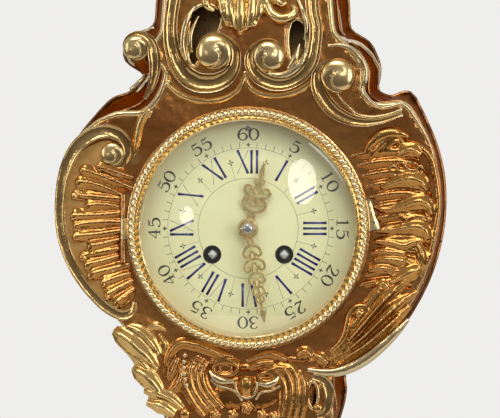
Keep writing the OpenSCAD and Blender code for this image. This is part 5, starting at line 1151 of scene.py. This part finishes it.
black = bmesh.new()
star, foot, tall, wide, weight = (minuteRing[key] for key in ("star", "foot", "height", "wide", "weight"))
tickLow, tickHigh, tickHalf = minuteRing["tick"]
starLines = [[(0, star + s, half) for s, half in minuteRing["starArm"]],
             [(s, star, half) for s, half in minuteRing["starArm"]]]
for mark in range(60):
    turn = mark * 2 * pi / 60
    if mark % 5:
        paintOn(black, [[(0, tickLow, tickHalf), (0, tickHigh, tickHalf)]], turn)
        continue
    paintOn(black, starLines, turn)
    label = str(mark or 60)
    width = minuteRing["advance"] * len(label)
    for place, figure in enumerate(label):
        across = place * minuteRing["advance"] + 0.05 - width / 2
        strokes = [[((x + across) * tall * wide, foot + y * tall, half * tall * weight)
                    for x, y, half in line] for line in figures[figure]]
        paintOn(black, strokes, turn, smooth=True, steps=4)
for hour in range(12):
    paintOn(black, flowerLook, (hour + 0.5) * 2 * pi / 12)
circles = [[(r * sin(k * pi / 36), r * cos(k * pi / 36), half) for k in range(72)]
           for r, half in minuteRing["circles"]]
paintOn(black, circles, smooth=True, steps=2, closed=True)
finishPiece("minuteMarks", black, blackEnamel, "case")

hourRing = {
    "foot": 27.4, "head": 39.2, "stroke": 0.72, "hair": 0.13, "step": 2.75, "vee": 5.0, "cross": 5.4,
    "numerals": ["XII", "I", "II", "III", "IIII", "V", "VI", "VII", "VIII", "IX", "X", "XI"]}

blue = bmesh.new()
foot, head, hair, stroke = (hourRing[key] for key in ("foot", "head", "hair", "stroke"))
vee, cross = hourRing["vee"], hourRing["cross"]
widths = {"I": hourRing["step"], "V": vee + 0.6, "X": cross + 0.6}
for hour, numeral in enumerate(hourRing["numerals"]):
    x = -sum(widths[letter] for letter in numeral) / 2
    strokes = []
    for letter in numeral:
        mid = x + widths[letter] / 2
        if letter == "I":
            strokes.append([(mid, foot, stroke), (mid, head, stroke)])
        if letter == "V":
            strokes.append([(mid - vee / 2, head, stroke), (mid - 0.2, foot, stroke)])
            strokes.append([(mid + vee / 2, head, hair), (mid + 0.2, foot, hair)])
        if letter == "X":
            strokes.append([(mid - cross / 2, head, stroke), (mid + cross / 2, foot, stroke)])
            strokes.append([(mid + cross / 2, head, hair), (mid - cross / 2, foot, hair)])
        x += widths[letter]
    paintOn(blue, strokes, hour * 2 * pi / 12)
finishPiece("hourNumerals", blue, blueEnamel, "case")

windingLook = {"floor": 61.3, "bore": 2.5, "square": 3.2, "squareEnd": 64.6, "bevel": 0.8, "land": 0.5}
windingHoles = dialLook["holes"][1:3]

tubes = bmesh.new()
bore, deep = windingLook["bore"], windingLook["floor"]
for x, y, r in windingHoles:
    # black cups behind the winding holes, with a floor: painted shade for the dark inside of the holes
    top = enamelTop(x, y)
    cup = bmesh.new()
    sleeve = [(bore, deep), (r - 0.1, deep), (r - 0.1, top + 0.12), (r + 0.28, top + 0.14),
              (r + 0.3, top - 0.4), (r + 0.05, top - 0.5), (r + 0.05, deep - 0.4), (bore, deep - 0.4)]
    spun(cup, sleeve, True, 48)
    bmesh.ops.translate(cup, vec=(x, y, 0), verts=cup.verts)
    pour(tubes, meshFrom("cup", cup))
finishPiece("windingSleeves", tubes, holeShadeBlack, "case", sharp=40)
arbors = (("goingSquareEnd", "going_arbor"), ("strikeSquareEnd", "strike_arbor"))
for (name, body), (x, y, r) in zip(arbors, windingHoles):
    end = bmesh.new()
    middle = windingLook["squareEnd"] + windingLook["bevel"] / 2
    bmesh.ops.create_cone(end, cap_ends=True, segments=4, radius1=windingLook["square"] / sqrt(2),
                          radius2=windingLook["land"], depth=windingLook["bevel"],
                          matrix=Matrix.Translation((x, y, middle)))
    finishPiece(name, end, squareSteel, body, sharp=20)
print("dial done")


# Hands: pierced and chased openwork, drawn pointing to twelve and turned to the time

hourHand = {
    "half": [[(0.2, 4.6, 0.9), (1.2, 6.4, 0.6), (0.6, 8.2, 0.5), (0, 9, 0.6)],
             [(0.1, 8.6, 0.5), (2.6, 9.2, 0.55), (4.9, 11.6, 0.6), (4.6, 14.4, 0.55), (2.6, 14.8, 0.5),
              (2.1, 13, 0.45), (3.1, 12.2, 0.4)],
             [(0.1, 11, 0.45), (1.2, 12.6, 0.5), (0.9, 15, 0.5), (0.1, 16.4, 0.5)],
             [(0.1, 15.6, 0.55), (2.4, 16.2, 0.55), (5.2, 17.6, 0.6), (5.6, 20, 0.55), (3.8, 21.2, 0.5),
              (2.8, 19.9, 0.45), (3.6, 19, 0.4)],
             [(0.1, 17.4, 0.45), (1.5, 19.2, 0.5), (1.2, 21.6, 0.5), (0.1, 23.6, 0.55)],
             [(0.1, 22.6, 0.5), (1.6, 23.2, 0.55), (2.2, 24.8, 0.45), (1.4, 25.6, 0.35)]],
    "spine": [[(0, 22.5, 0.7), (0, 25.5, 0.6), (0, 28, 0.95), (0, 30, 0.8), (0, 35, 0.2)]], "boss": 5.0,
    "bore": 3.02, "turn": 14, "middle": 68.0}
minuteHand = {
    "half": [[(0.2, 4.2, 0.8), (1.1, 6.2, 0.55), (0.5, 8.2, 0.5), (0, 9, 0.55)],
             [(0.1, 8.6, 0.5), (2, 9.2, 0.5), (3.7, 11.4, 0.55), (3.5, 13.8, 0.5), (2, 14, 0.45),
              (1.7, 12.6, 0.4)],
             [(0.1, 11, 0.4), (0.9, 12.8, 0.45), (0.7, 14.8, 0.45), (0.1, 16, 0.45)],
             [(0.1, 15, 0.5), (2.2, 15.8, 0.5), (4.3, 18, 0.55), (4.2, 20.6, 0.5), (2.6, 21.2, 0.45),
              (2.1, 19.6, 0.4), (2.9, 18.9, 0.35)],
             [(0.1, 17, 0.4), (1.2, 19, 0.45), (0.9, 21.6, 0.45), (0.1, 23.2, 0.45)],
             [(0.1, 22.4, 0.5), (1.9, 23, 0.5), (3.4, 25, 0.5), (3, 27.4, 0.45), (1.7, 27.4, 0.4),
              (1.5, 26, 0.35)],
             [(0.1, 24.6, 0.4), (0.9, 26.4, 0.42), (0.7, 28.6, 0.42), (0.1, 30, 0.42)],
             [(0.1, 29, 0.45), (1.5, 29.6, 0.45), (2.4, 31.4, 0.45), (1.8, 33.2, 0.4), (0.8, 32.6, 0.35)],
             [(0.1, 33.6, 0.4), (1.2, 34.4, 0.42), (1.6, 36, 0.4), (0.6, 37.4, 0.38)]],
    "spine": [[(0, 29, 0.5), (0, 34, 0.5), (0, 38, 0.6), (0, 41, 0.55), (0, 43, 1.05), (0, 44.4, 0.8),
               (0, 48, 0.2)]],
    "boss": 4.4, "bore": 2.07, "turn": 170, "middle": 70.8}
handsLook = {"thick": 0.8, "broad": 1.12, "heavy": 1.6, "flat": 0.85}
colletLook = {
    "ring": [(1.02, 71.35), (4.9, 71.35), (5.2, 71.7), (4.9, 72.1), (4.1, 72.2), (3.7, 72.6), (3.4, 72.9),
             (1.02, 72.95)],
    "nut": [(0, 75.2), (1.5, 75.15), (2.1, 74.95), (2.5, 74.5), (2.6, 73.9), (2.6, 72.96), (0, 72.96)]}


def piercedHand(name, look, body):
    bm = bmesh.new()
    lines = look["half"] + [[(-x, y, r) for x, y, r in line] for line in look["half"]] + look["spine"]
    broad, heavy = handsLook["broad"], handsLook["heavy"]
    sweep(bm, [[(x * broad, y, 0, r * heavy) for x, y, r in line] for line in lines], steps=5)
    boss, bore = look["boss"], look["bore"]
    hub = [(bore, -0.4), (boss, -0.4), (boss + 0.2, 0), (boss, 0.35), (bore + 0.5, 0.45), (bore, 0.4)]
    spun(bm, hub, True, 40)
    castTogether(bm, handVoxel, 1)
    limit = handsLook["thick"] / 2
    for vert in bm.verts:
        vert.co.z = max(-limit, min(limit, vert.co.z * handsLook["flat"]))
    bmesh.ops.rotate(bm, verts=bm.verts, cent=(0, 0, 0),
                     matrix=Matrix.Rotation(-radians(look["turn"]), 3, 'Z'))
    bmesh.ops.translate(bm, verts=bm.verts, vec=(0, 0, look["middle"]))
    finishPiece(name, bm, giltHands, body, [body], clean=False)


piercedHand("hourHandOpenwork", hourHand, "hour_hand")
piercedHand("minuteHandOpenwork", minuteHand, "minute_hand")
collet = bmesh.new()
spun(collet, colletLook["ring"], True, 56)
finishPiece("handCollet", collet, giltHands, "centre_wheel", ["hand_collet"], sharp=35)
tip = bmesh.new()
spun(tip, colletLook["nut"], False, 40)
finishPiece("arborTip", tip, clockSteel, "centre_wheel", sharp=40)
print("hands done")


# Finishes for the CAD nodes that stay in view

finishOf = {"gilt_bronze": giltRope, "brass": clockBrass, "steel": clockSteel, "enamel": dialEnamel,
            "glass": clockGlass}
for row in frame["record"]["subparts"]:
    finish = giltFace if row["node"] == "dial_ring" else finishOf[row["material_slot"]]
    for slot in frame["nodes"][row["node"]].material_slots:
        slot.material = finish
for holder in sections.values():
    discard(holder)


# Stage: floor, light and camera

stageLook = {"floorZ": -0.62, "floorSize": 1.7, "lampColour": (1.0, 0.97, 0.92), "lamps": [
    # name, place, aimed at, width, height, power
    ("windowRight", (0.46, -1.32, 0.28), (0.0, -0.07, -0.13), 0.26, 0.42, 1.25),
    ("windowLeft", (-0.60, -1.33, -0.03), (0.0, -0.07, -0.13), 0.13, 0.17, 0.22),
    ("overhead", (-0.1, -0.98, 0.92), (0.0, -0.05, -0.13), 1.0, 0.45, 6.0),
    ("softLeft", (-1.0, -0.85, 0.1), (0.0, -0.05, -0.13), 0.35, 0.9, 1.7),
    ("softRight", (1.0, -0.9, 0.0), (0.0, -0.05, -0.13), 0.35, 0.9, 3.6)]}

grid = bmesh.new()
bmesh.ops.create_grid(grid, x_segments=2, y_segments=2, size=stageLook["floorSize"] / 2,
                      matrix=Matrix.Translation((0, 0.1, stageLook["floorZ"])))
floor = linked("floor", meshFrom("floor", grid))
floor.data.materials.append(paintMaterial("floorPaint", {
    "grain": (3.0, 200.0), "light": (0.82, 0.81, 0.79), "dark": (0.79, 0.78, 0.76), "rough": (0.6, 0.7),
    "coat": 0.0, "bump": 0.02}))

# a pale wall of light behind the clock, a darker room in front of it
world = bpy.data.worlds.new("studio")
bpy.context.scene.world = world
world.use_nodes = True
tree = world.node_tree
place = nodeIn(tree, 'ShaderNodeTexCoord').outputs['Generated']
way = nodeIn(tree, 'ShaderNodeSeparateXYZ', {0: place}).outputs
front = mixColours(tree, mapped(tree, way['Z'], -0.6, 0.8), (0.08, 0.06, 0.045), (0.44, 0.43, 0.41))
sky = mixColours(tree, mapped(tree, way['Y'], -0.1, 0.6), front, (0.86, 0.855, 0.84))
feed(tree, tree.nodes['Background'].inputs['Color'], sky)


def aimed(name, data, place, aim):
    holder = linked(name, data)
    holder.location = place
    holder.rotation_euler = (Vector(aim) - Vector(place)).to_track_quat('-Z', 'Y').to_euler()
    return holder


for name, place, aim, width, height, power in stageLook["lamps"]:
    light = bpy.data.lights.new(name, 'AREA')
    light.shape = 'ELLIPSE'
    light.size, light.size_y, light.energy = width, height, power
    light.color = stageLook["lampColour"]
    aimed(name, light, place, aim)

cameraLook = {"target": (0.001, -0.070, axisHeight + 0.00975), "distance": 1.4, "azimuth": 1.7, "width": 0.25}
lens = bpy.data.cameras.new("camera")
lens.sensor_width = 36
lens.lens = 36 * cameraLook["distance"] / cameraLook["width"]
lens.clip_start, lens.clip_end = 0.05, 50
target = Vector(cameraLook["target"])
side = radians(cameraLook["azimuth"])
stand = target + Vector((sin(side), -cos(side), 0)) * cameraLook["distance"]
bpy.context.scene.camera = aimed("camera", lens, stand, target)
bpy.context.scene.view_settings.view_transform = 'Standard'
print("stage done")
